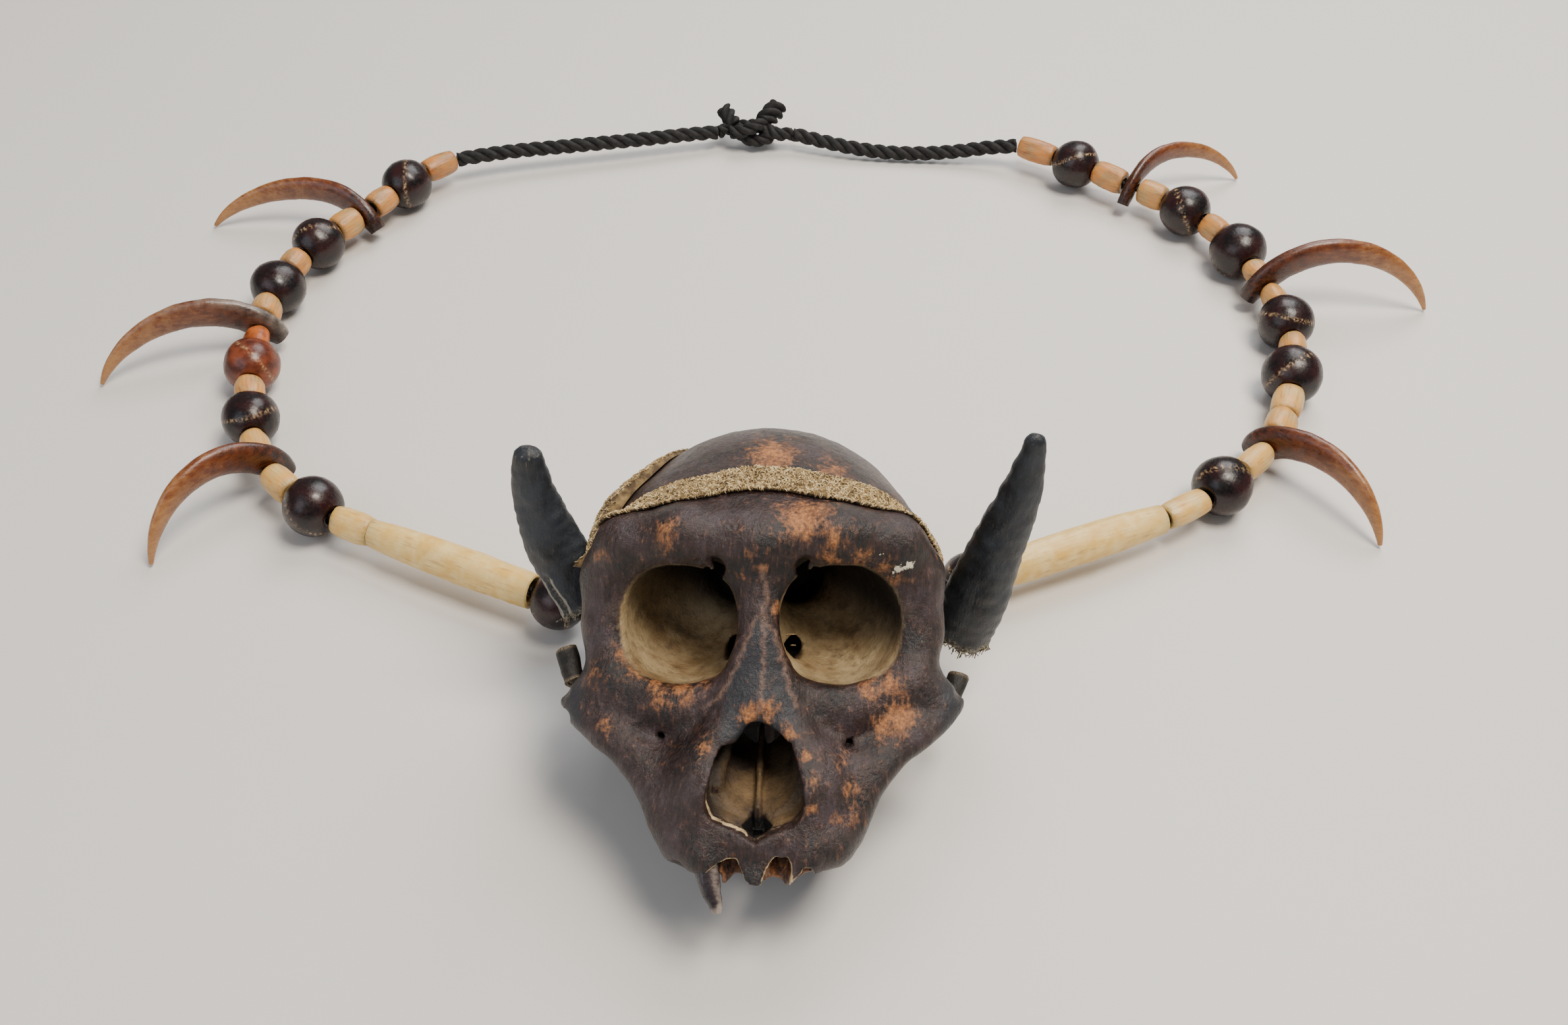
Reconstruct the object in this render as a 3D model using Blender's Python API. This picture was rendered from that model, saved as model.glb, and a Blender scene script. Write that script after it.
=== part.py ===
"""Necklace with a macaque skull pendant, laid out on a flat surface.

All sizes are in millimetres and are turned to metres by MM. The surface is the plane Z = 0.
The wearer's side of the necklace lies at +Y and the skull faces -Y, with its face tilted up.
"""

import math

import bmesh
import bpy
from mathutils import Matrix, Vector
from mathutils.bvhtree import BVHTree

MM = 0.001
GAP = 0.3
CURVE_SAMPLES = 24
SHARP_ANGLE = 40.0

# Placing of the whole layout: the middle of the base is the origin
LAYOUT_CENTRE_X = 0.0
LAYOUT_CENTRE_Y = 271.1

# Skull, in its own frame: origin at the tip of the upper jaw, y to the back, z to the crown
SKULL_ORIGIN = (-3.6, 139.5, 22.0)
SKULL_TILT_BACK = 31.0
SKULL_LEAN = 2.0
SKULL_YAW = 2.2
BRAINCASE_HALF = (30.2, 31.0, 27.2)
BRAINCASE_CENTRE = (0.0, 58.0, 42.0)
ORBIT_CENTRE = (13.6, 31.0, 40.8)
ORBIT_HALF = (12.4, 17.0, 11.1)
ORBIT_TURN = 14.0
NOSE_HALF_WIDTH = 8.8
NOSE_FLOOR = 8.0
NOSE_TOP = 25.5
NOSE_DEPTH = 32.0
VOXEL = 1.0
FUSE_PASSES = 5
SKULL_KEPT_SHARE = 0.037
REST_CUTTER_SIZE = (200.0, 200.0, 40.0)
SOCKET_SIDES = 10
NOSE_SIDES = 16
BAR_SIDES = 16

# String through the beads
STRING_HEIGHT = 7.6
STRING_DIAMETER = 2.2
BORE_DIAMETER = 3.2
TUBE_BORE_DIAMETER = 3.8
STRING_STEP = 9.0
STRING_LEAD = 1.0
STRING_TAIL = 0.5
SHORTEST_STRAIGHT = 1.0
STRING_CLEARANCE = 1.5
FITTING_PASSES = 6
RIM_RADIUS = 3.0
BEAD_SIDES = 8
SEED_SIDES = 10
SEED_RINGS = 5
SEED_SINK = 0.4
SEED_WALL = 0.5

# Rope at the back
ROPE_DIAMETER = 4.4
ROPE_STEP = 10.0
ROPE_LEAD = 1.3

# Tusks: a root that reaches past the string, then an arch down to the tip
TUSK_HOLE_DIAMETER = 3.2
TUSK_DRILL_LENGTH = 20.0
TUSK_SIDES = 6
TUSK_STEPS = 9
TUSK_ROOT_REACH = 4.6
TUSK_ROOT_HEIGHT = 3.9
TUSK_TIP_HEIGHT = 0.8
TUSK_ARCH_START = 0.1
TUSK_ARCH_END = 0.8
TUSK_TAPER = 2.8
TUSK_TIP_HALF = 0.5
TUSK_ROOT_ROUNDING = 0.16

HORN_SIDES = 10
HORN_STEP = 5.0
HORN_FLATNESS = 0.8
HORN_WALL = 1.6
HORN_HOLLOW_RINGS = 3
HORN_HOLLOW_END = 0.4

# Rolled thong ends: where each lies and its compass heading
ROLL_TURNS = 1.75
ROLL_STEPS = 16
ROLL_CORE_RADIUS = 0.4
ROLL_PITCH = 0.85
ROLL_THICKNESS = 0.55
ROLL_HALF_LENGTH = 3.4
ROLL_TILT = 12.0
LEFT_ROLL = ((-39.5, 184.0, 28.0), 20.0)
RIGHT_ROLL = ((33.5, 185.0, 21.5), -20.0)

# Bands, in the skull's frame: what they pass over, from the viewer's left to the right
BAND_THICKNESS = 1.5
BAND_CLEARANCE = 0.9
BAND_NARROWING = 0.3
BAND_STEPS = 24
FOREHEAD_BAND_WIDTH = 7.0
CROWN_BAND_WIDTH = 8.0
RAY_REACH = 0.1
FOREHEAD_ROUTE = [(-25.0, 40.5, 55.5), (-19.0, 39.4, 58.5), (-10.0, 38.5, 62.0),
                  (0.0, 38.8, 64.0), (10.0, 38.7, 62.5), (21.0, 40.6, 57.8),
                  (27.5, 42.5, 51.0), (30.0, 43.5, 47.0)]
CROWN_ROUTE = [(-31.5, 42.5, 46.0), (-30.4, 46.0, 52.5), (-27.5, 51.0, 58.0),
               (-22.5, 60.0, 60.0), (-15.5, 74.0, 55.5), (-5.0, 85.0, 48.0),
               (8.0, 84.0, 46.0), (20.0, 76.0, 45.5), (29.5, 64.0, 44.5),
               (33.4, 54.0, 44.0), (33.6, 49.5, 43.0)]

# Route of the string on each side, from the skull outwards, seen from above
LEFT_ROUTE = [
    (-37.0, 213.0), (-48.0, 218.0), (-57.0, 222.0), (-75.0, 229.7), (-93.2, 237.6),
    (-103.0, 242.2), (-109.0, 246.2), (-115.0, 250.8), (-120.0, 256.3), (-124.0, 263.0),
    (-127.0, 270.0), (-129.5, 278.0), (-131.5, 286.0), (-133.0, 294.0), (-134.0, 302.0),
    (-134.6, 310.0), (-134.8, 318.0), (-134.0, 326.0), (-132.0, 335.0), (-128.6, 343.5),
    (-123.5, 352.0), (-118.0, 359.5), (-113.5, 367.0), (-109.5, 374.4), (-104.0, 381.2),
    (-98.3, 386.3),
]
RIGHT_ROUTE = [
    (28.0, 219.5), (36.0, 224.0), (51.0, 231.0), (70.0, 239.3), (88.1, 247.7),
    (95.0, 252.0), (102.0, 258.5), (109.0, 264.8), (114.5, 270.5), (118.5, 277.0),
    (122.0, 285.0), (125.0, 293.5), (127.5, 302.0), (129.3, 311.0), (129.6, 320.0),
    (128.6, 329.5), (126.4, 339.0), (123.3, 349.5), (118.8, 360.0), (112.0, 369.0),
    (104.0, 376.3), (94.3, 383.4), (84.2, 391.0), (76.0, 396.4), (67.8, 401.0),
]
LEFT_ROPE_ROUTE = [
    (-98.3, 386.3, 7.6), (-85.0, 391.6, 7.2), (-71.7, 395.4, 6.7), (-58.2, 398.9, 6.3),
    (-44.6, 402.3, 6.0), (-35.4, 404.9, 5.8), (-22.7, 408.3, 5.3),
]
RIGHT_ROPE_ROUTE = [
    (67.8, 401.0, 7.6), (58.0, 402.6, 5.6), (47.0, 403.0, 3.6), (36.0, 403.2, 2.7),
    (25.0, 403.6, 2.9), (14.0, 405.0, 3.9), (0.3, 408.4, 5.2),
]

# What is threaded on each side, from the skull outwards: kind, length on the string, diameter
LEFT_START = 6.2
LEFT_BEADS = [
    ("seed", 11.6, 12.2), ("tube", 42.4, 8.7), ("bone", 10.0, 6.9), ("seed", 12.8, 13.8),
    ("bone", 8.7, 7.3), ("tusk", 5.0, 0.0), ("bone", 8.3, 7.0), ("seed", 12.8, 13.4),
    ("bone", 7.0, 6.9), ("seed", 12.6, 13.6), ("bone", 6.0, 6.5), ("tusk", 5.0, 0.0),
    ("bone", 6.6, 8.4), ("seed", 13.2, 14.2), ("bone", 6.4, 7.4), ("seed", 13.0, 13.9),
    ("bone", 7.8, 7.6), ("tusk", 4.8, 0.0), ("bone", 8.0, 7.4), ("seed", 13.0, 13.7),
    ("bone", 9.8, 7.0),
]
RIGHT_START = 8.6
RIGHT_BEADS = [
    ("seed", 12.4, 13.0), ("tube", 43.9, 8.7), ("bone", 11.8, 6.8), ("seed", 13.2, 14.1),
    ("bone", 10.1, 7.0), ("tusk", 5.2, 0.0), ("bone", 8.2, 8.0), ("bone", 9.5, 7.5),
    ("seed", 13.6, 15.0), ("bone", 7.0, 7.2), ("seed", 13.4, 14.3), ("bone", 6.0, 6.8),
    ("tusk", 4.8, 0.0), ("bone", 5.9, 6.6), ("seed", 14.0, 15.2), ("bone", 7.2, 6.9),
    ("seed", 13.3, 14.0), ("bone", 7.9, 7.2), ("tusk", 4.5, 0.0), ("bone", 9.7, 7.6),
    ("seed", 12.8, 13.5), ("bone", 11.2, 7.0),
]

# Each tusk, in stringing order: compass angle of its tip, reach, height of its arch, width,
# thickness
LEFT_TUSKS = [(-130.0, 32.4, 15.0, 8.2, 4.6), (-157.0, 40.5, 13.4, 8.6, 4.4),
              (177.0, 43.6, 11.4, 8.0, 4.4)]
RIGHT_TUSKS = [(-50.0, 33.6, 12.0, 8.8, 4.8), (0.0, 44.4, 17.2, 8.2, 4.4),
               (25.0, 38.0, 13.3, 6.2, 3.4)]

# Horns: centre line from the base to the tip, with the half width there
LEFT_HORN = [((-38.0, 198.0, 27.5), 4.6), ((-41.0, 202.0, 33.0), 5.8), ((-44.4, 205.0, 40.0), 5.7),
             ((-46.9, 207.0, 48.0), 4.8), ((-47.8, 207.5, 55.5), 3.8), ((-47.5, 207.5, 62.2), 2.4)]
RIGHT_HORN = [((36.2, 203.0, 15.4), 5.8), ((38.6, 204.6, 27.0), 6.4), ((41.6, 207.0, 39.5), 5.2),
              ((44.9, 209.0, 53.0), 3.8), ((46.4, 210.5, 66.0), 1.7)]

# Knot: ends and end radii of the strands it is made of
KNOT_BARS = [((-19.6, 408.8, 5.2), (-9.0, 409.6, 5.8), 3.0, 3.6),
             ((-9.0, 409.6, 5.8), (-2.6, 409.0, 5.4), 3.4, 2.8),
             ((-18.6, 410.6, 5.0), (-12.5, 406.6, 5.4), 2.6, 2.8),
             ((-18.4, 411.0, 6.4), (-20.6, 415.6, 8.4), 3.0, 3.3),
             ((-8.6, 411.4, 7.2), (-4.8, 416.8, 8.6), 3.4, 4.2)]
KNOT_VOXEL = 0.6
KNOT_PASSES = 2
KNOT_KEPT_SHARE = 0.04

# Finishes, as plain red, green, blue with roughness
FINISHES = {
    "bone_patina": ((0.09, 0.06, 0.05), 0.5),
    "tooth": ((0.12, 0.08, 0.07), 0.4),
    "woven_fibre": ((0.36, 0.27, 0.13), 0.9),
    "thong": ((0.05, 0.04, 0.03), 0.7),
    "horn": ((0.04, 0.05, 0.06), 0.5),
    "seed": ((0.06, 0.03, 0.02), 0.25),
    "bone_bead": ((0.72, 0.5, 0.25), 0.45),
    "tusk": ((0.3, 0.14, 0.07), 0.4),
    "cord": ((0.02, 0.02, 0.02), 0.85),
}


def clear_scene():
    for old in list(bpy.data.objects):
        bpy.data.objects.remove(old)


def finish(name):
    """The Principled material of that name, made on first use."""
    made = bpy.data.materials.get(name)
    if made:
        return made
    colour, roughness = FINISHES[name]
    made = bpy.data.materials.new(name)
    made.use_nodes = True
    shader = made.node_tree.nodes["Principled BSDF"]
    shader.inputs["Base Color"].default_value = (*colour, 1.0)
    shader.inputs["Roughness"].default_value = roughness
    return made


def place(point):
    """A point of the layout, in millimetres, in metres from the part's own origin."""
    x, y, z = point
    return Vector(((x - LAYOUT_CENTRE_X) * MM, (y - LAYOUT_CENTRE_Y) * MM, z * MM))


def add_object(name, shape, material, smooth=True):
    """Turns a bmesh in metres into an object of the scene."""
    bmesh.ops.recalc_face_normals(shape, faces=shape.faces)
    mesh = bpy.data.meshes.new(name)
    shape.to_mesh(mesh)
    shape.free()
    made = bpy.data.objects.new(name, mesh)
    bpy.context.scene.collection.objects.link(made)
    made.data.materials.append(finish(material))
    if smooth:
        mesh.shade_smooth()
        mesh.set_sharp_from_angle(angle=math.radians(SHARP_ANGLE))
    return made


def add_cutter(name, shape, matrix):
    """An object that only cuts others and isn't itself a piece."""
    made = add_object(name, shape, "cord", smooth=False)
    made.matrix_world = matrix
    made.hide_render = True
    made.display_type = "WIRE"
    return made


def cut(piece, cutter):
    step = piece.modifiers.new("cut_" + cutter.name, "BOOLEAN")
    step.operation = "DIFFERENCE"
    step.solver = "EXACT"
    step.object = cutter


def smooth_route(points, step):
    """Points every step along a Catmull-Rom curve through the given ones, ends included."""
    knots = [Vector(p) for p in points]
    knots.insert(0, 2 * knots[0] - knots[1])
    knots.append(2 * knots[-1] - knots[-2])
    fine = []
    for a, b, c, d in zip(knots, knots[1:], knots[2:], knots[3:]):
        for i in range(CURVE_SAMPLES):
            t = i / CURVE_SAMPLES
            fine.append(0.5 * (2 * b + (c - a) * t + (2 * a - 5 * b + 4 * c - d) * t * t
                               + (3 * b - a - 3 * c + d) * t ** 3))
    fine.append(knots[-2])
    lengths = [0.0]
    for here, there in zip(fine, fine[1:]):
        lengths.append(lengths[-1] + (there - here).length)
    count = max(2, round(lengths[-1] / step) + 1)
    return [at_length(fine, lengths, lengths[-1] * i / (count - 1)) for i in range(count)]


def at_length(points, lengths, distance):
    """The point that far along a line of points whose running lengths are given."""
    for i in range(1, len(points)):
        if lengths[i] >= distance:
            share = (distance - lengths[i - 1]) / (lengths[i] - lengths[i - 1])
            return points[i - 1].lerp(points[i], share)
    return points[-1].copy()


def skin_rings(shape, rings, capped=True):
    """Joins rings of points, one after another, into a tube with closed ends."""
    loops = [[shape.verts.new(p) for p in ring] for ring in rings]
    for low, high in zip(loops, loops[1:]):
        for i in range(len(low)):
            j = (i + 1) % len(low)
            shape.faces.new((low[i], low[j], high[j], high[i]))
    if capped:
        shape.faces.new(reversed(loops[0]))
        shape.faces.new(loops[-1])


# Skull


def skull_matrix():
    """From the skull's own frame, in millimetres, to the part's frame in metres."""
    tilt = Matrix.Rotation(math.radians(-SKULL_TILT_BACK), 4, "X")
    lean = Matrix.Rotation(math.radians(-SKULL_LEAN), 4, "Y")
    yaw = Matrix.Rotation(math.radians(-SKULL_YAW), 4, "Z")
    return Matrix.Translation(place(SKULL_ORIGIN)) @ tilt @ lean @ yaw @ Matrix.Scale(MM, 4)


def add_lobe(shape, centre, radii, mirrored=True):
    """An ellipsoid, and its mirror image where it isn't on the middle plane."""
    for side in (1, -1) if mirrored and centre[0] else (1,):
        matrix = (Matrix.Translation((side * centre[0], centre[1], centre[2]))
                  @ Matrix.Diagonal((*radii, 1.0)))
        bmesh.ops.create_icosphere(shape, subdivisions=3, radius=1.0, matrix=matrix)


def add_bar(shape, start, end, start_radius, end_radius, mirrored=True):
    """A rounded bar, a ball at each end and a cone between them, with its mirror image."""
    for side in (1, -1) if mirrored and (start[0] or end[0]) else (1,):
        a = Vector((side * start[0], start[1], start[2]))
        b = Vector((side * end[0], end[1], end[2]))
        for centre, radius in ((a, start_radius), (b, end_radius)):
            matrix = Matrix.Translation(centre)
            bmesh.ops.create_icosphere(shape, subdivisions=2, radius=radius, matrix=matrix)
        turn = (b - a).to_track_quat("Z", "Y").to_matrix().to_4x4()
        bmesh.ops.create_cone(shape, cap_ends=True, segments=BAR_SIDES, radius1=start_radius,
                              radius2=end_radius, depth=(b - a).length,
                              matrix=Matrix.Translation((a + b) / 2) @ turn)


def skull_lobes():
    """Centre and half sizes of each rounded mass of the bone."""
    yield BRAINCASE_CENTRE, BRAINCASE_HALF
    yield (10.5, 48.0, 46.0), (20.5, 18.0, 18.6)
    yield (0.0, 38.0, 48.0), (26.0, 12.0, 12.6)
    yield (15.0, 40.0, 41.0), (15.5, 14.0, 14.5)
    yield (0.0, 58.0, 22.0), (17.0, 22.0, 11.0)
    yield (17.0, 61.0, 21.0), (7.0, 11.0, 8.0)
    yield (8.5, 20.0, 13.0), (10.0, 14.0, 10.5)
    yield (19.0, 25.5, 21.0), (7.0, 5.0, 6.0)
    yield (0.0, 15.0, 7.0), (13.0, 11.0, 6.0)
    yield (0.0, 5.5, 5.6), (8.0, 4.4, 5.2)
    for y in (14.5, 20.0, 25.5, 31.0):
        yield (14.4, y, -0.6), (2.9, 2.9, 3.2)


def skull_bars():
    """Ends and end radii of each rounded ridge of the bone."""
    brow = [((0.0, 28.8, 55.4), 5.0), ((14.0, 29.6, 56.8), 4.7), ((25.2, 32.8, 54.2), 4.5),
            ((29.2, 35.2, 47.0), 4.1), ((29.0, 33.4, 37.0), 4.1), ((27.2, 28.4, 28.4), 4.7),
            ((15.0, 23.6, 26.0), 4.2), ((5.4, 21.6, 29.0), 3.4)]
    cheek = [((27.4, 28.4, 27.4), 4.5), ((35.6, 28.0, 24.6), 2.9)]
    cheek_edge = [((32.6, 24.6, 22.0), 2.8), ((26.0, 21.6, 20.0), 4.2), ((19.2, 17.8, 13.6), 5.0),
                  ((13.8, 13.6, 8.0), 4.8)]
    tooth_row = [((3.6, 5.0, 4.0), 3.4), ((11.8, 8.8, 4.2), 4.2), ((14.6, 20.0, 4.0), 4.3),
                 ((15.4, 34.0, 5.0), 4.2)]
    canine_swelling = [((9.4, 5.8, 4.4), 3.3), ((9.0, 9.6, 12.0), 2.4)]
    nose_rim = [((7.0, 8.4, 8.6), 2.2), ((9.6, 12.4, 15.4), 2.1), ((6.8, 15.4, 22.0), 2.3),
                ((0.0, 17.8, 27.0), 2.6)]
    nose_side = [((5.6, 17.6, 22.0), 4.0), ((4.0, 21.8, 34.0), 2.8), ((2.6, 26.6, 46.0), 2.6)]
    nose_bridge = [((0.0, 18.6, 26.4), 3.6), ((0.0, 22.8, 38.0), 3.1), ((0.0, 27.4, 49.0), 4.0)]
    wing = [((7.5, 40.0, 4.0), 2.2), ((8.5, 43.0, 16.0), 3.4)]
    skull_base = [((0.0, 44.0, 12.0), 5.0), ((0.0, 60.0, 18.0), 5.5)]
    arch_root = [((26.0, 58.0, 27.0), 4.4), ((32.4, 50.0, 25.0), 2.6)]
    nape_crest = [((0.0, 86.0, 39.0), 3.0), ((15.0, 81.5, 38.0), 3.0), ((26.0, 70.0, 34.0), 3.2)]
    jaw_tip = [((0.0, 3.6, 5.0), 2.4), ((0.0, 1.3, 1.2), 1.5)]
    for chain in (brow, cheek, cheek_edge, tooth_row, canine_swelling, nose_rim, nose_side,
                  nose_bridge, wing, skull_base, arch_root, nape_crest, jaw_tip):
        for (start, start_radius), (end, end_radius) in zip(chain, chain[1:]):
            yield start, end, start_radius, end_radius


def nose_cutter():
    """The pear-shaped opening of the nose, run back into the face and narrowed there."""
    shape = bmesh.new()
    middle = (NOSE_FLOOR + NOSE_TOP) / 2
    half = (NOSE_TOP - NOSE_FLOOR) / 2
    rings = []
    for y, share in ((-4.0, 1.0), (18.0, 1.0), (NOSE_DEPTH, 0.45)):
        ring = []
        for i in range(NOSE_SIDES):
            turn = 2 * math.pi * i / NOSE_SIDES
            narrowing = 1.0 - 0.2 * math.sin(turn)
            ring.append((NOSE_HALF_WIDTH * narrowing * math.cos(turn) * share, y,
                         middle + half * math.sin(turn) * share))
        rings.append(ring)
    skin_rings(shape, rings)
    return shape


def lobe_cutter(centre, radii, mirrored=True):
    shape = bmesh.new()
    add_lobe(shape, centre, radii, mirrored)
    return shape


def orbit_cutter(side):
    """The hollow of one eye, turned outwards."""
    shape = bmesh.new()
    x, y, z = ORBIT_CENTRE
    matrix = (Matrix.Translation((side * x, y, z))
              @ Matrix.Rotation(side * math.radians(ORBIT_TURN), 4, "Z")
              @ Matrix.Diagonal((*ORBIT_HALF, 1.0)))
    bmesh.ops.create_icosphere(shape, subdivisions=3, radius=1.0, matrix=matrix)
    return shape


def skull_cutters():
    """Name and shape of each hollow that is cut from the bone."""
    yield "orbit_right", orbit_cutter(1)
    yield "orbit_left", orbit_cutter(-1)
    yield "nose", nose_cutter()
    yield "palate", lobe_cutter((0.0, 23.0, -1.0), (10.3, 17.0, 5.0))
    yield "temple", lobe_cutter((40.0, 45.0, 30.0), (11.0, 11.0, 15.0))
    yield "foramen", lobe_cutter((0.0, 66.0, 13.0), (6.0, 6.5, 7.0))
    for x, word in ((4.4, "right"), (-4.4, "left")):
        yield "socket_" + word, lobe_cutter((x, 2.0, 1.8), (1.9, 2.6, 3.4), mirrored=False)


def canine_rings(margin):
    """Rings of the curved canine from its root to its worn tip, swollen by a margin."""
    line = [((-9.2, 7.4, 8.0), 2.0), ((-9.2, 5.6, 4.6), 2.2), ((-8.6, 4.0, 1.4), 2.1),
            ((-7.8, 2.8, -1.4), 2.0), ((-6.9, 2.0, -3.6), 1.3)]
    centres = [Vector(p) for p, _ in line]
    rings = []
    for i, (centre, radius) in enumerate(line):
        low = centres[max(i - 1, 0)]
        high = centres[min(i + 1, len(centres) - 1)]
        turn = (high - low).to_track_quat("Z", "X").to_matrix()
        ring = []
        for k in range(SOCKET_SIDES):
            angle = 2 * math.pi * k / SOCKET_SIDES
            offset = Vector((math.cos(angle), math.sin(angle), 0.0)) * (radius + margin)
            ring.append(Vector(centre) + turn @ offset)
        rings.append(ring)
    if margin:
        axis = (centres[1] - centres[0]).normalized()
        rings[0] = [p - axis * margin for p in rings[0]]
    return rings


def fuse(piece, name, voxel, passes):
    """Grows one skin over everything in the piece and takes the hardness off it."""
    grow = piece.modifiers.new(name, "REMESH")
    grow.mode = "VOXEL"
    grow.voxel_size = voxel * MM
    grow.use_smooth_shade = True
    soften = piece.modifiers.new(name + "_softened", "SMOOTH")
    soften.factor = 0.5
    soften.iterations = passes


def build_skull():
    shape = bmesh.new()
    for centre, radii in skull_lobes():
        add_lobe(shape, centre, radii)
    for start, end, start_radius, end_radius in skull_bars():
        add_bar(shape, start, end, start_radius, end_radius)
    bmesh.ops.transform(shape, matrix=Matrix.Scale(MM, 4), verts=shape.verts)
    skull = add_object("skull", shape, "bone_patina")
    to_world = skull_matrix() @ Matrix.Scale(1.0 / MM, 4)
    skull.matrix_world = to_world

    fuse(skull, "fuse_masses", VOXEL, FUSE_PASSES)
    for name, cutter_shape in skull_cutters():
        bmesh.ops.transform(cutter_shape, matrix=Matrix.Scale(MM, 4), verts=cutter_shape.verts)
        cut(skull, add_cutter("cutter_" + name, cutter_shape, to_world))
    fuse(skull, "fuse_hollows", VOXEL, FUSE_PASSES)
    thin_out = skull.modifiers.new("thin_out", "DECIMATE")
    thin_out.ratio = SKULL_KEPT_SHARE
    socket = bmesh.new()
    skin_rings(socket, canine_rings(GAP))
    bmesh.ops.transform(socket, matrix=Matrix.Scale(MM, 4), verts=socket.verts)
    cut(skull, add_cutter("cutter_canine_socket", socket, to_world))
    floor = bmesh.new()
    bmesh.ops.create_cube(floor, size=MM)
    bmesh.ops.transform(floor, matrix=Matrix.Diagonal((*REST_CUTTER_SIZE, 1.0)), verts=floor.verts)
    below = place((SKULL_ORIGIN[0], LAYOUT_CENTRE_Y, -REST_CUTTER_SIZE[2] / 2))
    cut(skull, add_cutter("cutter_rest", floor, Matrix.Translation(below)))
    return skull


def build_canine():
    shape = bmesh.new()
    skin_rings(shape, canine_rings(0.0))
    bmesh.ops.transform(shape, matrix=Matrix.Scale(MM, 4), verts=shape.verts)
    canine = add_object("canine", shape, "tooth")
    canine.matrix_world = skull_matrix() @ Matrix.Scale(1.0 / MM, 4)


# Bands round the braincase


def build_band(name, tree, route, width):
    """A ribbon laid over the bone along a route, its inner face just clear of it."""
    steps = BAND_STEPS
    to_world = skull_matrix()
    middle = to_world @ Vector(BRAINCASE_CENTRE)
    line = smooth_route(route, 1.0)
    picked = [line[round(i * (len(line) - 1) / steps)] for i in range(steps + 1)]
    points = [to_world @ p for p in picked]
    shape = bmesh.new()
    rings = []
    for i, point in enumerate(points):
        outwards = (point - middle).normalized()
        forwards = (points[min(i + 1, steps)] - points[max(i - 1, 0)]).normalized()
        across = outwards.cross(forwards).normalized()
        share = abs(2 * i / steps - 1)
        half = 0.5 * width * (1.0 - BAND_NARROWING * share) * MM
        ring = []
        for edge in (-half, 0.0, half):
            aim = (point + across * edge - middle).normalized()
            hit = tree.ray_cast(middle + aim * RAY_REACH, -aim)[0]
            ring.append(hit + outwards * BAND_CLEARANCE * MM)
        thick = outwards * BAND_THICKNESS * MM
        rings.append(ring + [p + thick for p in reversed(ring)])
    skin_rings(shape, rings)
    return add_object(name, shape, "woven_fibre")


def skull_tree(skull):
    """The finished bone as a tree that rays can be cast at."""
    bpy.context.view_layer.update()
    graph = bpy.context.evaluated_depsgraph_get()
    evaluated = skull.evaluated_get(graph)
    mesh = evaluated.to_mesh()
    points = [evaluated.matrix_world @ v.co for v in mesh.vertices]
    faces = [tuple(f.vertices) for f in mesh.polygons]
    evaluated.to_mesh_clear()
    return BVHTree.FromPolygons(points, faces)


# Horns


def horn_rings(line, shrink=0.0):
    """Oval rings along a horn, flatter from front to back."""
    centres = smooth_route([p for p, _ in line], HORN_STEP)
    halves = [half for _, half in line]
    rings = []
    for i, centre in enumerate(centres):
        low = centres[max(i - 1, 0)]
        high = centres[min(i + 1, len(centres) - 1)]
        forwards = (high - low).normalized()
        deep = forwards.cross(Vector((1.0, 0.0, 0.0))).normalized()
        wide = deep.cross(forwards)
        along = i / (len(centres) - 1) * (len(halves) - 1)
        first = min(int(along), len(halves) - 2)
        half = halves[first] + (halves[first + 1] - halves[first]) * (along - first) - shrink
        ring = []
        for k in range(HORN_SIDES):
            angle = 2 * math.pi * k / HORN_SIDES
            ring.append(place(centre + wide * half * math.cos(angle)
                              + deep * HORN_FLATNESS * half * math.sin(angle)))
        rings.append(ring)
    return rings


def build_horn(name, line):
    shape = bmesh.new()
    skin_rings(shape, horn_rings(line))
    horn = add_object(name, shape, "horn")
    hollow = bmesh.new()
    rings = horn_rings(line, shrink=HORN_WALL)[:HORN_HOLLOW_RINGS]
    middles = [sum(ring, Vector()) / HORN_SIDES for ring in rings]
    past_base = (middles[0] - middles[1]) * HORN_HOLLOW_END
    rings[0] = [p + past_base for p in rings[0]]
    rings[-1] = [middles[-1].lerp(p, HORN_HOLLOW_END) for p in rings[-1]]
    skin_rings(hollow, rings)
    cut(horn, add_cutter("cutter_" + name, hollow, Matrix.Identity(4)))


# Rolled thong ends


def build_thong_roll(name, centre, heading):
    """A flat thong rolled up on itself: a spiral strip, as long as the thong is wide."""
    inner = []
    outer = []
    for i in range(ROLL_STEPS + 1):
        angle = 2 * math.pi * ROLL_TURNS * i / ROLL_STEPS
        radius = ROLL_CORE_RADIUS + ROLL_PITCH * angle / (2 * math.pi)
        way = Vector((math.cos(angle), 0.0, math.sin(angle)))
        inner.append(way * radius * MM)
        outer.append(way * (radius + ROLL_THICKNESS) * MM)
    outline = inner + outer[::-1]
    end = Vector((0.0, ROLL_HALF_LENGTH * MM, 0.0))
    shape = bmesh.new()
    near = [shape.verts.new(p - end) for p in outline]
    far = [shape.verts.new(p + end) for p in outline]
    last = len(outline) - 1
    for i in range(len(outline)):
        j = (i + 1) % len(outline)
        shape.faces.new((near[i], near[j], far[j], far[i]))
    for i in range(ROLL_STEPS):
        shape.faces.new((near[i], near[i + 1], near[last - i - 1], near[last - i]))
        shape.faces.new((far[i], far[i + 1], far[last - i - 1], far[last - i]))
    roll = add_object(name, shape, "thong")
    roll.location = place(centre)
    roll.rotation_euler = (math.radians(ROLL_TILT), 0.0, math.radians(heading))


# Beads


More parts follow.
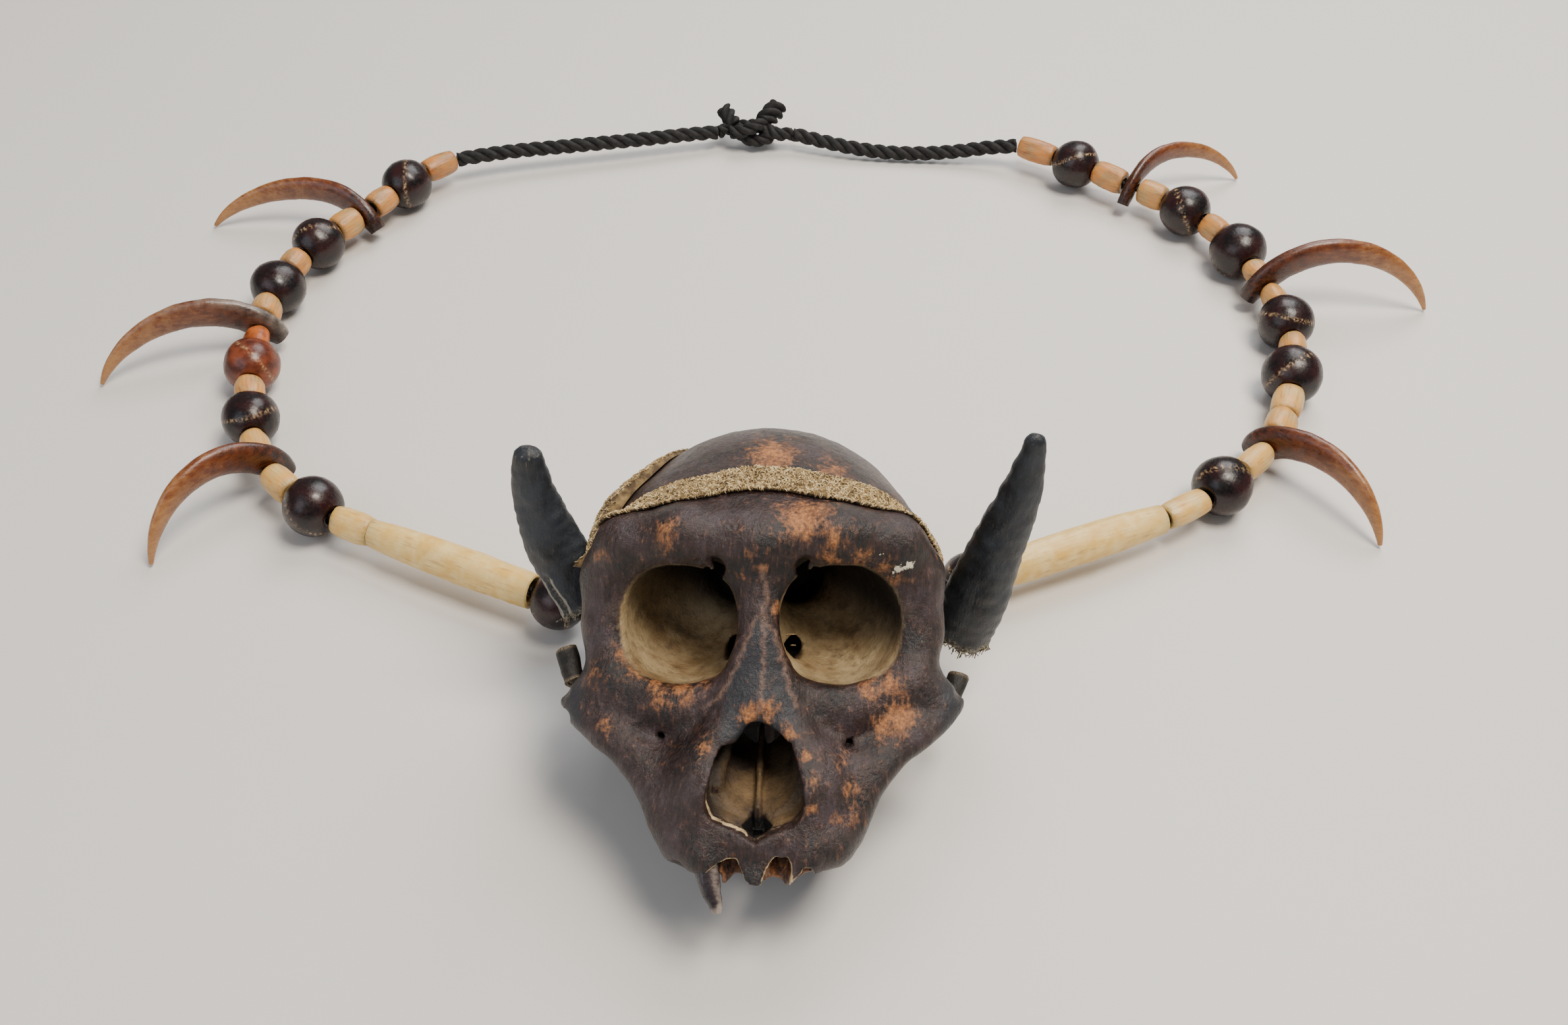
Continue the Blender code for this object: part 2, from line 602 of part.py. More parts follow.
def turned(profile, sides):
    """Spins a closed outline of (radius, height) points round the Z axis."""
    shape = bmesh.new()
    points = [shape.verts.new((r * MM, 0.0, z * MM)) for r, z in profile]
    edges = [shape.edges.new((a, b)) for a, b in zip(points, points[1:] + points[:1])]
    bmesh.ops.spin(shape, geom=points + edges, cent=(0.0, 0.0, 0.0), axis=(0.0, 0.0, 1.0),
                   angle=2 * math.pi, steps=sides, use_merge=True)
    bmesh.ops.remove_doubles(shape, verts=shape.verts, dist=0.00001)
    return shape


def seed_profile(length, diameter):
    """A pierced round seed, a little shorter along its hole than across it."""
    bore = BORE_DIAMETER / 2
    outline = []
    for i in range(SEED_RINGS):
        height = math.cos(math.pi * (i + 0.5) / SEED_RINGS)
        outline.append((max(bore + SEED_WALL, math.sqrt(1 - height ** 2) * diameter / 2),
                        height * length / 2 / math.cos(math.pi * 0.5 / SEED_RINGS)))
    mouth = length / 2 - SEED_SINK
    return [(bore, -mouth), (bore, mouth)] + outline


def bone_profile(length, diameter):
    """A barrel bead with rounded ends."""
    half = length / 2
    bore = BORE_DIAMETER / 2
    return [(bore, -half), (bore, half), (0.4 * diameter, half), (0.5 * diameter, 0.3 * half),
            (0.5 * diameter, -0.3 * half), (0.4 * diameter, -half)]


def tube_profile(length, diameter):
    """A long bone tube, waisted at its outer end and wide at its bore."""
    half = length / 2
    bore = TUBE_BORE_DIAMETER / 2
    return [(bore, -half), (bore, half), (0.36 * diameter, half), (0.42 * diameter, 0.8 * half),
            (0.49 * diameter, 0.35 * half), (0.5 * diameter, -0.2 * half),
            (0.485 * diameter, -0.8 * half), (0.45 * diameter, -half)]


def tusk_rings(reach, arch, width, thickness, skew):
    """Flat oval rings along an arching tusk: x outwards, z up, hole at x = 0.

    Seen from above it leaves the string squarely and bends by the skew towards its tip.
    """
    lift = (8 * arch - TUSK_ROOT_HEIGHT) / 6
    corners = [Vector((-TUSK_ROOT_REACH, 0.0, TUSK_ROOT_HEIGHT)),
               Vector((TUSK_ARCH_START * reach, 0.0, lift)),
               Vector((TUSK_ARCH_END * reach, 0.0, lift)), Vector((reach, 0.0, TUSK_TIP_HEIGHT))]
    rings = []
    for i in range(TUSK_STEPS + 1):
        t = i / TUSK_STEPS
        s = 1 - t
        a, b, c, d = corners
        centre = a * s ** 3 + 3 * b * s * s * t + 3 * c * s * t * t + d * t ** 3
        along = (b - a) * s * s + 2 * (c - b) * s * t + (d - c) * t * t
        along.normalize()
        across = Vector((-along.z, 0.0, along.x))
        rounding = 1 - 0.5 * (1 - min(1.0, t / TUSK_ROOT_ROUNDING)) ** 2
        body = (1 - t ** TUSK_TAPER) * rounding
        half_width = (0.5 * width - TUSK_TIP_HALF) * body + TUSK_TIP_HALF
        half_thick = (0.5 * thickness - TUSK_TIP_HALF) * (1 - t ** TUSK_TAPER) + TUSK_TIP_HALF
        out = max(centre.x, 0.0)
        plan = Vector((math.cos(skew), math.sin(skew) * out / reach, 0.0))
        slope = math.atan2(2 * plan.y, plan.x)
        sideways = Vector((-math.sin(slope), math.cos(slope), 0.0))
        forwards = Vector((math.cos(slope), math.sin(slope), 0.0))
        middle = Vector((centre.x, 0.0, centre.z))
        if out:
            middle = Vector((out * plan.x, out * plan.y, centre.z))
        upright = forwards * across.x + Vector((0.0, 0.0, across.z))
        ring = []
        for k in range(TUSK_SIDES):
            angle = 2 * math.pi * k / TUSK_SIDES
            ring.append(middle + upright * half_width * math.cos(angle)
                        + sideways * half_thick * math.sin(angle))
        rings.append([p * MM for p in ring])
    return rings


def build_tusk(name, hole, along, shape_values):
    heading, reach, arch, width, thickness = shape_values
    tip = Vector((math.cos(math.radians(heading)), math.sin(math.radians(heading)), 0.0))
    square = Vector((along.y, -along.x, 0.0)).normalized()
    if square.dot(tip) < 0:
        square = -square
    skew = math.atan2(square.cross(tip).z, square.dot(tip))
    shape = bmesh.new()
    skin_rings(shape, tusk_rings(reach, arch, width, thickness, skew))
    tusk = add_object(name, shape, "tusk")
    tusk.matrix_world = (Matrix.Translation(place((hole.x, hole.y, 0.0)))
                         @ Matrix.Rotation(math.atan2(square.y, square.x), 4, "Z"))
    return tusk


def drill_tusk(tusk, centre, along):
    """The hole that the string runs through, in line with the string."""
    shape = bmesh.new()
    radius = TUSK_HOLE_DIAMETER / 2 * MM
    bmesh.ops.create_cone(shape, cap_ends=True, segments=BEAD_SIDES, radius1=radius,
                          radius2=radius, depth=TUSK_DRILL_LENGTH * MM)
    turn = along.to_track_quat("Z", "Y").to_matrix().to_4x4()
    cut(tusk, add_cutter("cutter_" + tusk.name, shape, Matrix.Translation(place(centre)) @ turn))


def fine_line(route):
    points = smooth_route([(*p, STRING_HEIGHT) for p in route], 0.5)
    lengths = [0.0]
    for here, there in zip(points, points[1:]):
        lengths.append(lengths[-1] + (there - here).length)
    return points, lengths


def lay_out(points, lengths, start, beads, share):
    """The ends of each bead along the string, and where the last one stops."""
    spans = []
    here = start
    before = None
    for _, full_length, _ in beads:
        length = full_length * share
        ends = [at_length(points, lengths, here), at_length(points, lengths, here + length)]
        if before:
            here += RIM_RADIUS * math.sin(before.angle(ends[1] - ends[0]))
            ends = [at_length(points, lengths, here), at_length(points, lengths, here + length)]
        before = ends[1] - ends[0]
        spans.append(ends)
        here += length + GAP
    return spans, here - GAP


def thread(side, route, start, beads, tusks, tree):
    """Threads the beads of one side, filling its route, and returns the string's corners."""
    points, lengths = fine_line(route)
    profiles = {"seed": seed_profile, "bone": bone_profile, "tube": tube_profile}
    materials = {"seed": "seed", "bone": "bone_bead", "tube": "bone_bead"}
    counts = {"seed": 0, "bone": 0, "tube": 0, "tusk": 0}
    share = 1.0
    for _ in range(FITTING_PASSES):
        stop = lay_out(points, lengths, start, beads, share)[1]
        share *= (lengths[-1] - start) / (stop - start)
    lead = at_length(points, lengths, start - STRING_LEAD)
    inwards = (lead - at_length(points, lengths, start)).normalized()
    bone = tree.ray_cast(place(lead), inwards)[3] / MM
    corners = [lead + inwards * (bone - STRING_CLEARANCE)]
    spans = lay_out(points, lengths, start, beads, share)[0]
    for (kind, _, diameter), (low, high) in zip(beads, spans):
        middle = (low + high) / 2
        length = (high - low).length
        along = (high - low).normalized()
        counts[kind] += 1
        name = f"{kind}_{side}_{counts[kind]}"
        if kind == "tusk":
            tusk = build_tusk(name, middle, along, tusks[counts[kind] - 1])
            drill_tusk(tusk, middle, along)
        else:
            sides = SEED_SIDES if kind == "seed" else BEAD_SIDES
            bead = add_object(name, turned(profiles[kind](length, diameter), sides),
                              materials[kind])
            bead.matrix_world = (Matrix.Translation(place(middle))
                                 @ along.to_track_quat("Z", "Y").to_matrix().to_4x4())
        corners += [low, high]
    return corners


def cord_object(name, points, diameter):
    """A round cord along points in millimetres, as a curve with filled ends."""
    curve = bpy.data.curves.new(name, "CURVE")
    curve.dimensions = "3D"
    curve.bevel_depth = diameter / 2 * MM
    curve.bevel_resolution = 2
    curve.use_fill_caps = True
    line = curve.splines.new("POLY")
    line.points.add(len(points) - 1)
    for slot, point in zip(line.points, points):
        slot.co = (*place(point), 1.0)
    curve.materials.append(finish("cord"))
    made = bpy.data.objects.new(name, curve)
    bpy.context.scene.collection.objects.link(made)
    return made


def string_points(corners):
    """The string through the beads: straight in each bead, with a point every few diameters."""
    line = [corners[0]]
    for here, there in zip(corners, corners[1:]):
        length = (there - here).length
        if length < SHORTEST_STRAIGHT:
            continue
        pieces = max(1, round(length / STRING_STEP))
        line += [here.lerp(there, (i + 1) / pieces) for i in range(pieces)]
    line[-1] = line[-1] + (line[-1] - line[-2]).normalized() * STRING_TAIL
    return line


def rope_points(route):
    line = smooth_route(route, ROPE_STEP)
    line[0] = line[0] + (line[1] - line[0]).normalized() * ROPE_LEAD
    return line


def build_knot():
    """The knot at the back: a thick twist with the two cut ends doubled back as lumps."""
    shape = bmesh.new()
    for start, end, start_radius, end_radius in KNOT_BARS:
        add_bar(shape, place(start), place(end), start_radius * MM, end_radius * MM,
                mirrored=False)
    knot = add_object("knot", shape, "cord")
    fuse(knot, "fuse_strands", KNOT_VOXEL, KNOT_PASSES)
    thin_out = knot.modifiers.new("thin_out", "DECIMATE")
    thin_out.ratio = KNOT_KEPT_SHARE


def main():
    clear_scene()
    skull = build_skull()
    build_canine()
    tree = skull_tree(skull)
    build_band("forehead_band", tree, FOREHEAD_ROUTE, FOREHEAD_BAND_WIDTH)
    build_band("crown_band", tree, CROWN_ROUTE, CROWN_BAND_WIDTH)
    build_horn("horn_left", LEFT_HORN)
    build_horn("horn_right", RIGHT_HORN)
    build_thong_roll("thong_roll_left", *LEFT_ROLL)
    build_thong_roll("thong_roll_right", *RIGHT_ROLL)
    left = thread("left", LEFT_ROUTE, LEFT_START, LEFT_BEADS, LEFT_TUSKS, tree)
    right = thread("right", RIGHT_ROUTE, RIGHT_START, RIGHT_BEADS, RIGHT_TUSKS, tree)
    cord_object("string_left", string_points(left), STRING_DIAMETER)
    cord_object("string_right", string_points(right), STRING_DIAMETER)
    cord_object("rope_left", rope_points(LEFT_ROPE_ROUTE), ROPE_DIAMETER)
    cord_object("rope_right", rope_points(RIGHT_ROPE_ROUTE), ROPE_DIAMETER)
    build_knot()


if __name__ == "__main__":
    main()
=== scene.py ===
"""Necklace with a macaque skull pendant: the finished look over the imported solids.

Sizes are millimetres on the layout, whose origin is the middle of the base, unless a name says
otherwise. The skull's own frame has its origin at the tip of the upper jaw, y to the back of the
head and z to the crown.
"""

from __future__ import annotations

import logging
import math
from dataclasses import dataclass, field
from enum import Enum
from functools import partial

import bmesh
import bpy
import numpy as np
from mathutils import Matrix, Vector
from mathutils.bvhtree import BVHTree


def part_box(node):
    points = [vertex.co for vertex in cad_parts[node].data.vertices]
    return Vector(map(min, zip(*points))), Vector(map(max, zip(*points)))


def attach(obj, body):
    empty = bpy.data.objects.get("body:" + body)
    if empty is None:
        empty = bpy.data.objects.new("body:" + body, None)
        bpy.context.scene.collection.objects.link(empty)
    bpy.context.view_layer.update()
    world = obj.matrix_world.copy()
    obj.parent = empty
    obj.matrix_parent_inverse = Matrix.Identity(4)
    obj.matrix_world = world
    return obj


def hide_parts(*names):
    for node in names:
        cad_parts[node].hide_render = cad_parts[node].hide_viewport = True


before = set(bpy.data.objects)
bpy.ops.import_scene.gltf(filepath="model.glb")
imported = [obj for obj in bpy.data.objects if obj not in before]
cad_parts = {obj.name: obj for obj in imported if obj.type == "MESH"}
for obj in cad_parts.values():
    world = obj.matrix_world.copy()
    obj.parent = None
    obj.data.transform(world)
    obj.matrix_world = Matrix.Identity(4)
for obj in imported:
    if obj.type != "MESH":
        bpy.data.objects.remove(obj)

log = logging.getLogger("necklace")
Array = np.ndarray

MM = 0.001
PHOTO_SIZE = (2380, 1556)
GAP = 0.3
LAYOUT_CENTRE = np.array((0.0, 271.1, 0.0))


class Side(Enum):
    """Which side of the skull a piece is strung on, as the viewer sees it."""

    LEFT = "left"
    RIGHT = "right"


# Small tools


def linear(hex_colour: str) -> tuple[float, float, float, float]:
    """Turns an sRGB hex colour to linear light.

    Args:
        hex_colour: six hex digits after a hash.

    Returns:
        Red, green, blue and an alpha of 1.
    """
    parts = [int(hex_colour[i:i + 2], 16) / 255 for i in (1, 3, 5)]
    light = [p / 12.92 if p <= 0.04045 else ((p + 0.055) / 1.055) ** 2.4 for p in parts]
    return (light[0], light[1], light[2], 1.0)


def add_node(tree, kind: str, links: dict | None = None, out: str | None = None,
             stops: tuple = (), **settings):
    """Adds a shader node with its settings and links.

    Args:
        tree: the node tree.
        kind: the node's type.
        links: input to a value, a hex colour or the output that feeds it.
        out: the name of the output wanted, where it isn't the first one in use.
        stops: positions and hex colours of a colour ramp.
        **settings: the node's own properties.

    Returns:
        The node's output.
    """
    made = tree.nodes.new("ShaderNode" + kind)
    for name, value in settings.items():
        setattr(made, name, value)
    for key, value in (links or {}).items():
        if isinstance(value, bpy.types.NodeSocket):
            tree.links.new(value, made.inputs[key])
        else:
            made.inputs[key].default_value = linear(value) if isinstance(value, str) else value
    for i, (position, colour) in enumerate(stops):
        elements = made.color_ramp.elements
        element = elements[i] if i < 2 else elements.new(position)
        element.position = position
        element.color = linear(colour)
    return made.outputs[out] if out else next(o for o in made.outputs if o.enabled)


def smooth_line(points: Array, step: float) -> Array:
    """Reads a Catmull-Rom curve through some points at an even spacing.

    Args:
        points: the points that the curve passes.
        step: the spacing.

    Returns:
        The points along the curve, ends included.
    """
    p = np.asarray(points, float)
    p = np.vstack([2 * p[0] - p[1], p, 2 * p[-1] - p[-2]])
    t = np.linspace(0, 1, 24, endpoint=False)[:, None]
    runs = []
    for a, b, c, d in zip(p, p[1:], p[2:], p[3:]):
        runs.append(0.5 * (2 * b + (c - a) * t + (2 * a - 5 * b + 4 * c - d) * t * t
                           + (3 * b - a - 3 * c + d) * t ** 3))
    fine = np.vstack(runs + [p[-2:-1]])
    along = running_length(fine)
    count = max(2, round(along[-1] / step) + 1)
    return at_length(fine, along, np.linspace(0, along[-1], count))


def running_length(points: Array) -> Array:
    """The length along a line of points, up to each one."""
    return np.concatenate([[0], np.cumsum(np.linalg.norm(np.diff(points, axis=0), axis=1))])


def at_length(points: Array, along: Array, wanted: Array | float) -> Array:
    """The points that lie that far along a line."""
    return np.stack([np.interp(wanted, along, points[:, i]) for i in range(3)], axis=-1)


def unit(v: Array) -> Array:
    """Vectors of length 1 in the same directions."""
    return v / np.maximum(np.linalg.norm(v, axis=-1, keepdims=True), 1e-9)


def smooth_step(low: float, high: float, x: Array) -> Array:
    """0 below low, 1 above high and a soft rise between."""
    t = np.clip((x - low) / (high - low), 0, 1)
    return t * t * (3 - 2 * t)


def outline_distance(outline: list[tuple[float, float]], x: Array, z: Array) -> Array:
    """Distance to a closed outline, negative inside it.

    Args:
        outline: its corners in turn.
        x: first coordinates of the points.
        z: second coordinates.

    Returns:
        A distance for each point.
    """
    x, z = np.broadcast_arrays(x, z)
    near = np.full(x.shape, 1e6)
    inside = np.zeros(x.shape, bool)
    for (ax, az), (bx, bz) in zip(outline, outline[1:] + outline[:1]):
        ex, ez = bx - ax, bz - az
        t = np.clip(((x - ax) * ex + (z - az) * ez) / (ex * ex + ez * ez), 0, 1)
        near = np.minimum(near, np.hypot(x - ax - t * ex, z - az - t * ez))
        spans = (az > z) != (bz > z)
        inside ^= spans & (x < ax + (z - az) * ex / (ez or 1e-9))
    return np.where(inside, -near, near)


def tube_walls(rings: int, sides: int) -> Array:
    """The point numbers of the quads that join rings of points into a tube."""
    i = np.arange(rings - 1)[:, None] * sides
    j = np.arange(sides)[None, :]
    k = (j + 1) % sides
    return np.stack([i + j, i + k, i + sides + k, i + sides + j], axis=-1).reshape(-1, 4)


class Lumps:
    """Smooth random unevenness in space, the same on every run."""

    def __init__(self, seed: int, cells: int = 32) -> None:
        """Draws the lattice of random values."""
        self.cells = cells
        self.lattice = np.random.default_rng(seed).uniform(-1, 1, (cells, cells, cells))

    def at(self, points: Array, size: float) -> Array:
        """Reads the unevenness.

        Args:
            points: where, in millimetres.
            size: the width of one lump, in millimetres.

        Returns:
            A value from -1 to 1 for each point.
        """
        q = points / size + 11.37
        low = np.floor(q).astype(int)
        t = q - low
        t = t * t * (3 - 2 * t)
        total = np.zeros(points.shape[:-1])
        for corner in range(8):
            bits = np.array([(corner >> k) & 1 for k in range(3)])
            share = np.prod(np.where(bits, t, 1 - t), axis=-1)
            i = (low + bits) % self.cells
            total += share * self.lattice[i[..., 0], i[..., 1], i[..., 2]]
        return total


@dataclass
class Shape:
    """Points, faces and painted masks of one piece, gathered a bit at a time."""

    points: list[Array] = field(default_factory=list)
    faces: list[Array] = field(default_factory=list)
    masks: list[dict[str, Array]] = field(default_factory=list)
    count: int = 0

    def add(self, points: Array, faces: list[Array] | Array, **masks: Array | float) -> None:
        """Adds points and the faces that join them.

        Args:
            points: the new points.
            faces: arrays of corner numbers, counted from the first new point.
            **masks: a value for each point, or one for all of them.
        """
        points = np.asarray(points, float).reshape(-1, 3)
        for block in faces if isinstance(faces, list) else [faces]:
            self.faces.append(np.asarray(block) + self.count)
        self.points.append(points)
        full = {k: np.broadcast_to(np.asarray(v, float), len(points)) for k, v in masks.items()}
        self.masks.append(full)
        self.count += len(points)

    def add_tube(self, rings: Array, **masks: Array | float) -> None:
        """Adds a skin over rings of points, closed at both ends.

        Args:
            rings: ring by ring, point by point.
            **masks: a value for each ring or point, or one for all of them.
        """
        n, m = rings.shape[:2]
        blocks = [tube_walls(n, m), np.arange(m)[None, ::-1],
                  (n - 1) * m + np.arange(m)[None, :]]
        full = {}
        for name, value in masks.items():
            value = np.asarray(value, float)
            if value.shape == (n,):
                value = np.repeat(value, m)
            full[name] = value.reshape(-1) if value.ndim > 1 else value
        self.add(rings.reshape(-1, 3), blocks, **full)

    def to_object(self, name: str, material, smooth_angle: float = 40.0):
        """Makes the object.

        Args:
            name: the piece's name.
            material: its finish.
            smooth_angle: edges sharper than this, in degrees, stay sharp.

        Returns:
            The new object.
        """
        points = np.vstack(self.points) * MM
        faces = [row for block in self.faces for row in block.tolist()]
        mesh = bpy.data.meshes.new(name)
        mesh.from_pydata(points.tolist(), [], faces)
        for key in sorted({k for m in self.masks for k in m}):
            values = [m.get(key, np.zeros(len(p))) for m, p in zip(self.masks, self.points)]
            attribute = mesh.attributes.new(key, "FLOAT", "POINT")
            attribute.data.foreach_set("value", np.concatenate(values).astype(np.float32))
        mesh.update()
        made = bpy.data.objects.new(name, mesh)
        bpy.context.scene.collection.objects.link(made)
        mesh.materials.append(material)
        mesh.shade_smooth()
        if smooth_angle < 180:
            mesh.set_sharp_from_angle(angle=math.radians(smooth_angle))
        return made


def frames_along(line: Array) -> tuple[Array, Array, Array]:
    """Directions along a line and two across it that don't twist.

    Args:
        line: the points.

    Returns:
        The forward, first and second cross directions at each point.
    """
    forward = unit(np.gradient(line, axis=0))
    first = np.zeros_like(forward)
    start = np.array((0.0, 0.0, 1.0)) if abs(forward[0, 2]) < 0.8 else np.array((1.0, 0, 0))
    first[0] = unit(start - forward[0] * (start @ forward[0]))
    for i in range(1, len(line)):
        v = first[i - 1] - forward[i] * (first[i - 1] @ forward[i])
        first[i] = unit(v)
    return forward, first, np.cross(forward, first)


def ring_angles(sides: int) -> Array:
    """Even turns round a ring, in radians."""
    return np.arange(sides) * 2 * math.pi / sides


def round_rings(line: Array, radius: float, a: Array, b: Array, sides: int) -> Array:
    """Rings of one radius round a line, whose cross directions are a and b."""
    t = ring_angles(sides)
    return line[:, None] + radius * (np.cos(t)[None, :, None] * a[:, None]
                                     + np.sin(t)[None, :, None] * b[:, None])


def settle(piece, slot: str, *nodes: str):
    """Fixes a finished piece to the frame in place of its plain solids.

    Args:
        piece: the new object.
        slot: not used.
        *nodes: the solids that it stands for.

    Returns:
        The piece.
    """
    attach(piece, "root")
    if nodes:
        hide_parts(*nodes)
    log.info("%s: %d faces", piece.name, len(piece.data.polygons))
    return piece


# Finishes


def new_material(name: str):
    """Starts a material and returns it with its tree and its Principled shader."""
    made = bpy.data.materials.new(name)
    made.use_nodes = True
    return made, made.node_tree, made.node_tree.nodes["Principled BSDF"]


def in_millimetres(add, tilt: float = 0.0):
    """Reads the piece's own coordinates in millimetres, turned about x by a tilt in degrees."""
    place = add("TexCoord", out="Object")
    return add("Mapping", {0: place, "Rotation": (math.radians(tilt), 0, 0),
                           "Scale": (1 / MM, 1 / MM, 1 / MM)})


@dataclass(frozen=True)
class SmokedBone:
    """Old bone under a dark smoked and handled patina, rubbed through to orange-tan bone.

    The patina is satin and almost black-brown with a faint violet bloom; rubbed places are
    drier and warmer, and the insides that no hand reaches are plain khaki.
    """

    dark: str = "#0e0908"
    brown: str = "#301c15"
    bloom: str = "#3c3033"
    slate: str = "#23262c"
    suture: str = "#7d6152"
    rubbed: str = "#784625"
    bright: str = "#c4864f"
    inner: str = "#846a46"
    inner_pale: str = "#b8a27a"
    inner_dark: str = "#33261a"
    nostril: str = "#35261a"
    rim: str = "#d9bd90"
    fleck: str = "#f2e8cc"
    # Painted shade colour, laid over the insides and creases by the shade mask
    shadow: str = "#060404"

    def material(self, tilt: float):
        """Builds the material.

        Args:
            tilt: how far the skull leans back, in degrees, which the grain follows.

        Returns:
            The material.
        """
        made, tree, shader = new_material("smoked_bone")
        add = partial(add_node, tree)
        at = in_millimetres(add, tilt)
        drawn = add("Mapping", {0: at, "Scale": (1.0, 1.0, 0.22)})
        broad = add("TexNoise", {0: at, "Scale": 1 / 8.0, "Detail": 5.0, "Roughness": 0.6})
        middle = add("TexNoise", {0: at, "Scale": 1 / 2.2, "Detail": 6.0, "Roughness": 0.66})
        fine = add("TexNoise", {0: at, "Scale": 1 / 0.6, "Detail": 4.0, "Roughness": 0.65})
        streak = add("TexNoise", {0: drawn, "Scale": 1 / 0.8, "Detail": 6.0, "Roughness": 0.7})
        # Patina: near black in the hollows of the grain, violet-grey where hands polished it
        tone = add("Math", {0: broad, 1: streak}, operation="ADD")
        tone = add("MapRange", {0: tone, 1: 0.76, 2: 1.26})
        patina = add("ValToRGB", {0: tone},
                     stops=((0.12, self.dark), (0.85, self.bloom), (0.5, self.brown)))
        speck = add("MapRange", {0: fine, 1: 0.52, 2: 0.78, 3: 0.0, 4: 0.55})
        patina = add("Mix", {0: speck, 6: patina, 7: self.bloom}, data_type="RGBA")
        pit = add("MapRange", {0: middle, 1: 0.30, 2: 0.46, 3: 0.85, 4: 0.0})
        patina = add("Mix", {0: pit, 6: patina, 7: self.dark}, data_type="RGBA")
        slate = add("Attribute", out="Fac", attribute_name="slate")
        slate = add("Math", {0: slate, 1: 0.8}, operation="MULTIPLY")
        patina = add("Mix", {0: slate, 6: patina, 7: self.slate}, data_type="RGBA")
        # Rubbed places: the painted spots and edges, broken up by the grain
        rub = add("Attribute", out="Fac", attribute_name="rubbed")
        broken = add("Math", {0: middle, 1: 1.9, 2: -0.95}, operation="MULTIPLY_ADD")
        combed = add("Math", {0: streak, 1: 2.2, 2: -1.1}, operation="MULTIPLY_ADD")
        rub = add("Math", {0: rub, 1: broken}, operation="ADD")
        rub = add("Math", {0: rub, 1: combed}, operation="ADD")
        rub = add("MapRange", {0: rub, 1: 0.18, 2: 1.2}, interpolation_type="SMOOTHSTEP")
        warmth = add("MapRange", {0: fine, 1: 0.35, 2: 0.68})
        tan = add("Mix", {0: warmth, 6: self.rubbed, 7: self.bright}, data_type="RGBA")
        skin = add("Mix", {0: rub, 6: patina, 7: tan}, data_type="RGBA")
        seam = add("Attribute", out="Fac", attribute_name="suture")
        seam_share = add("MapRange", {0: fine, 1: 0.3, 2: 0.6, 3: 0.15, 4: 0.8})
        seam = add("Math", {0: seam, 1: seam_share}, operation="MULTIPLY")
        skin = add("Mix", {0: seam, 6: skin, 7: self.suture}, data_type="RGBA")
        # Insides: khaki bone with soft clouds in the eye sockets, browner in the nose
        cloud = add("MapRange", {0: broad, 1: 0.36, 2: 0.64})
        khaki = add("Mix", {0: cloud, 6: self.inner, 7: self.inner_pale}, data_type="RGBA")
        worn = add("MapRange", {0: middle, 1: 0.5, 2: 0.72, 3: 0.0, 4: 0.6})
        khaki = add("Mix", {0: worn, 6: khaki, 7: self.inner_dark}, data_type="RGBA")
        orbit = add("Attribute", out="Fac", attribute_name="orbit")
        skin = add("Mix", {0: orbit, 6: skin, 7: khaki}, data_type="RGBA")
        deep = add("Mix", {0: cloud, 6: self.nostril, 7: self.inner}, data_type="RGBA")
        deep = add("Mix", {0: worn, 6: deep, 7: self.inner_dark}, data_type="RGBA")
        nostril = add("Attribute", out="Fac", attribute_name="nostril")
        skin = add("Mix", {0: nostril, 6: skin, 7: deep}, data_type="RGBA")
        # Broken edges: raw bone where the thin rim of the nose and the sockets chipped
        raw = add("Attribute", out="Fac", attribute_name="raw")
        chipped = add("Math", {0: middle, 1: 1.6, 2: -0.8}, operation="MULTIPLY_ADD")
        raw = add("Math", {0: raw, 1: chipped}, operation="ADD")
        raw = add("MapRange", {0: raw, 1: 0.45, 2: 0.95}, interpolation_type="SMOOTHSTEP")
        skin = add("Mix", {0: raw, 6: skin, 7: self.rim}, data_type="RGBA")
        # Painted shade: the upper and deeper parts of the eye sockets, the back of the nose and
        # tight creases go near black
        shade = add("Attribute", out="Fac", attribute_name="shade")
        skin = add("Mix", {0: shade, 6: skin, 7: self.shadow}, data_type="RGBA")
        chip = add("Attribute", out="Fac", attribute_name="fleck")
        flaked = add("Math", {0: fine, 1: 1.8, 2: -0.9}, operation="MULTIPLY_ADD")
        chip = add("Math", {0: chip, 1: flaked}, operation="ADD")
        chip = add("MapRange", {0: chip, 1: 0.5, 2: 0.58})
        skin = add("Mix", {0: chip, 6: skin, 7: self.fleck}, data_type="RGBA")
        tree.links.new(skin, shader.inputs["Base Color"])
        inside = add("Math", {0: orbit, 1: nostril}, operation="MAXIMUM")
        matt = add("Math", {0: inside, 1: rub}, operation="MAXIMUM")
        gloss = add("MapRange", {0: fine, 1: 0.3, 2: 0.7, 3: 0.25, 4: 0.47})
        matt = add("Math", {0: matt, 1: 0.22, 2: gloss}, operation="MULTIPLY_ADD")
        tree.links.new(matt, shader.inputs["Roughness"])
        low = add("Bump", {"Height": middle, "Distance": 0.45 * MM})
        low = add("Bump", {"Height": streak, "Distance": 0.22 * MM, "Normal": low})
        low = add("Bump", {"Height": fine, "Distance": 0.16 * MM, "Normal": low})
        tree.links.new(low, shader.inputs["Normal"])
        shader.inputs["IOR"].default_value = 1.54
        return made


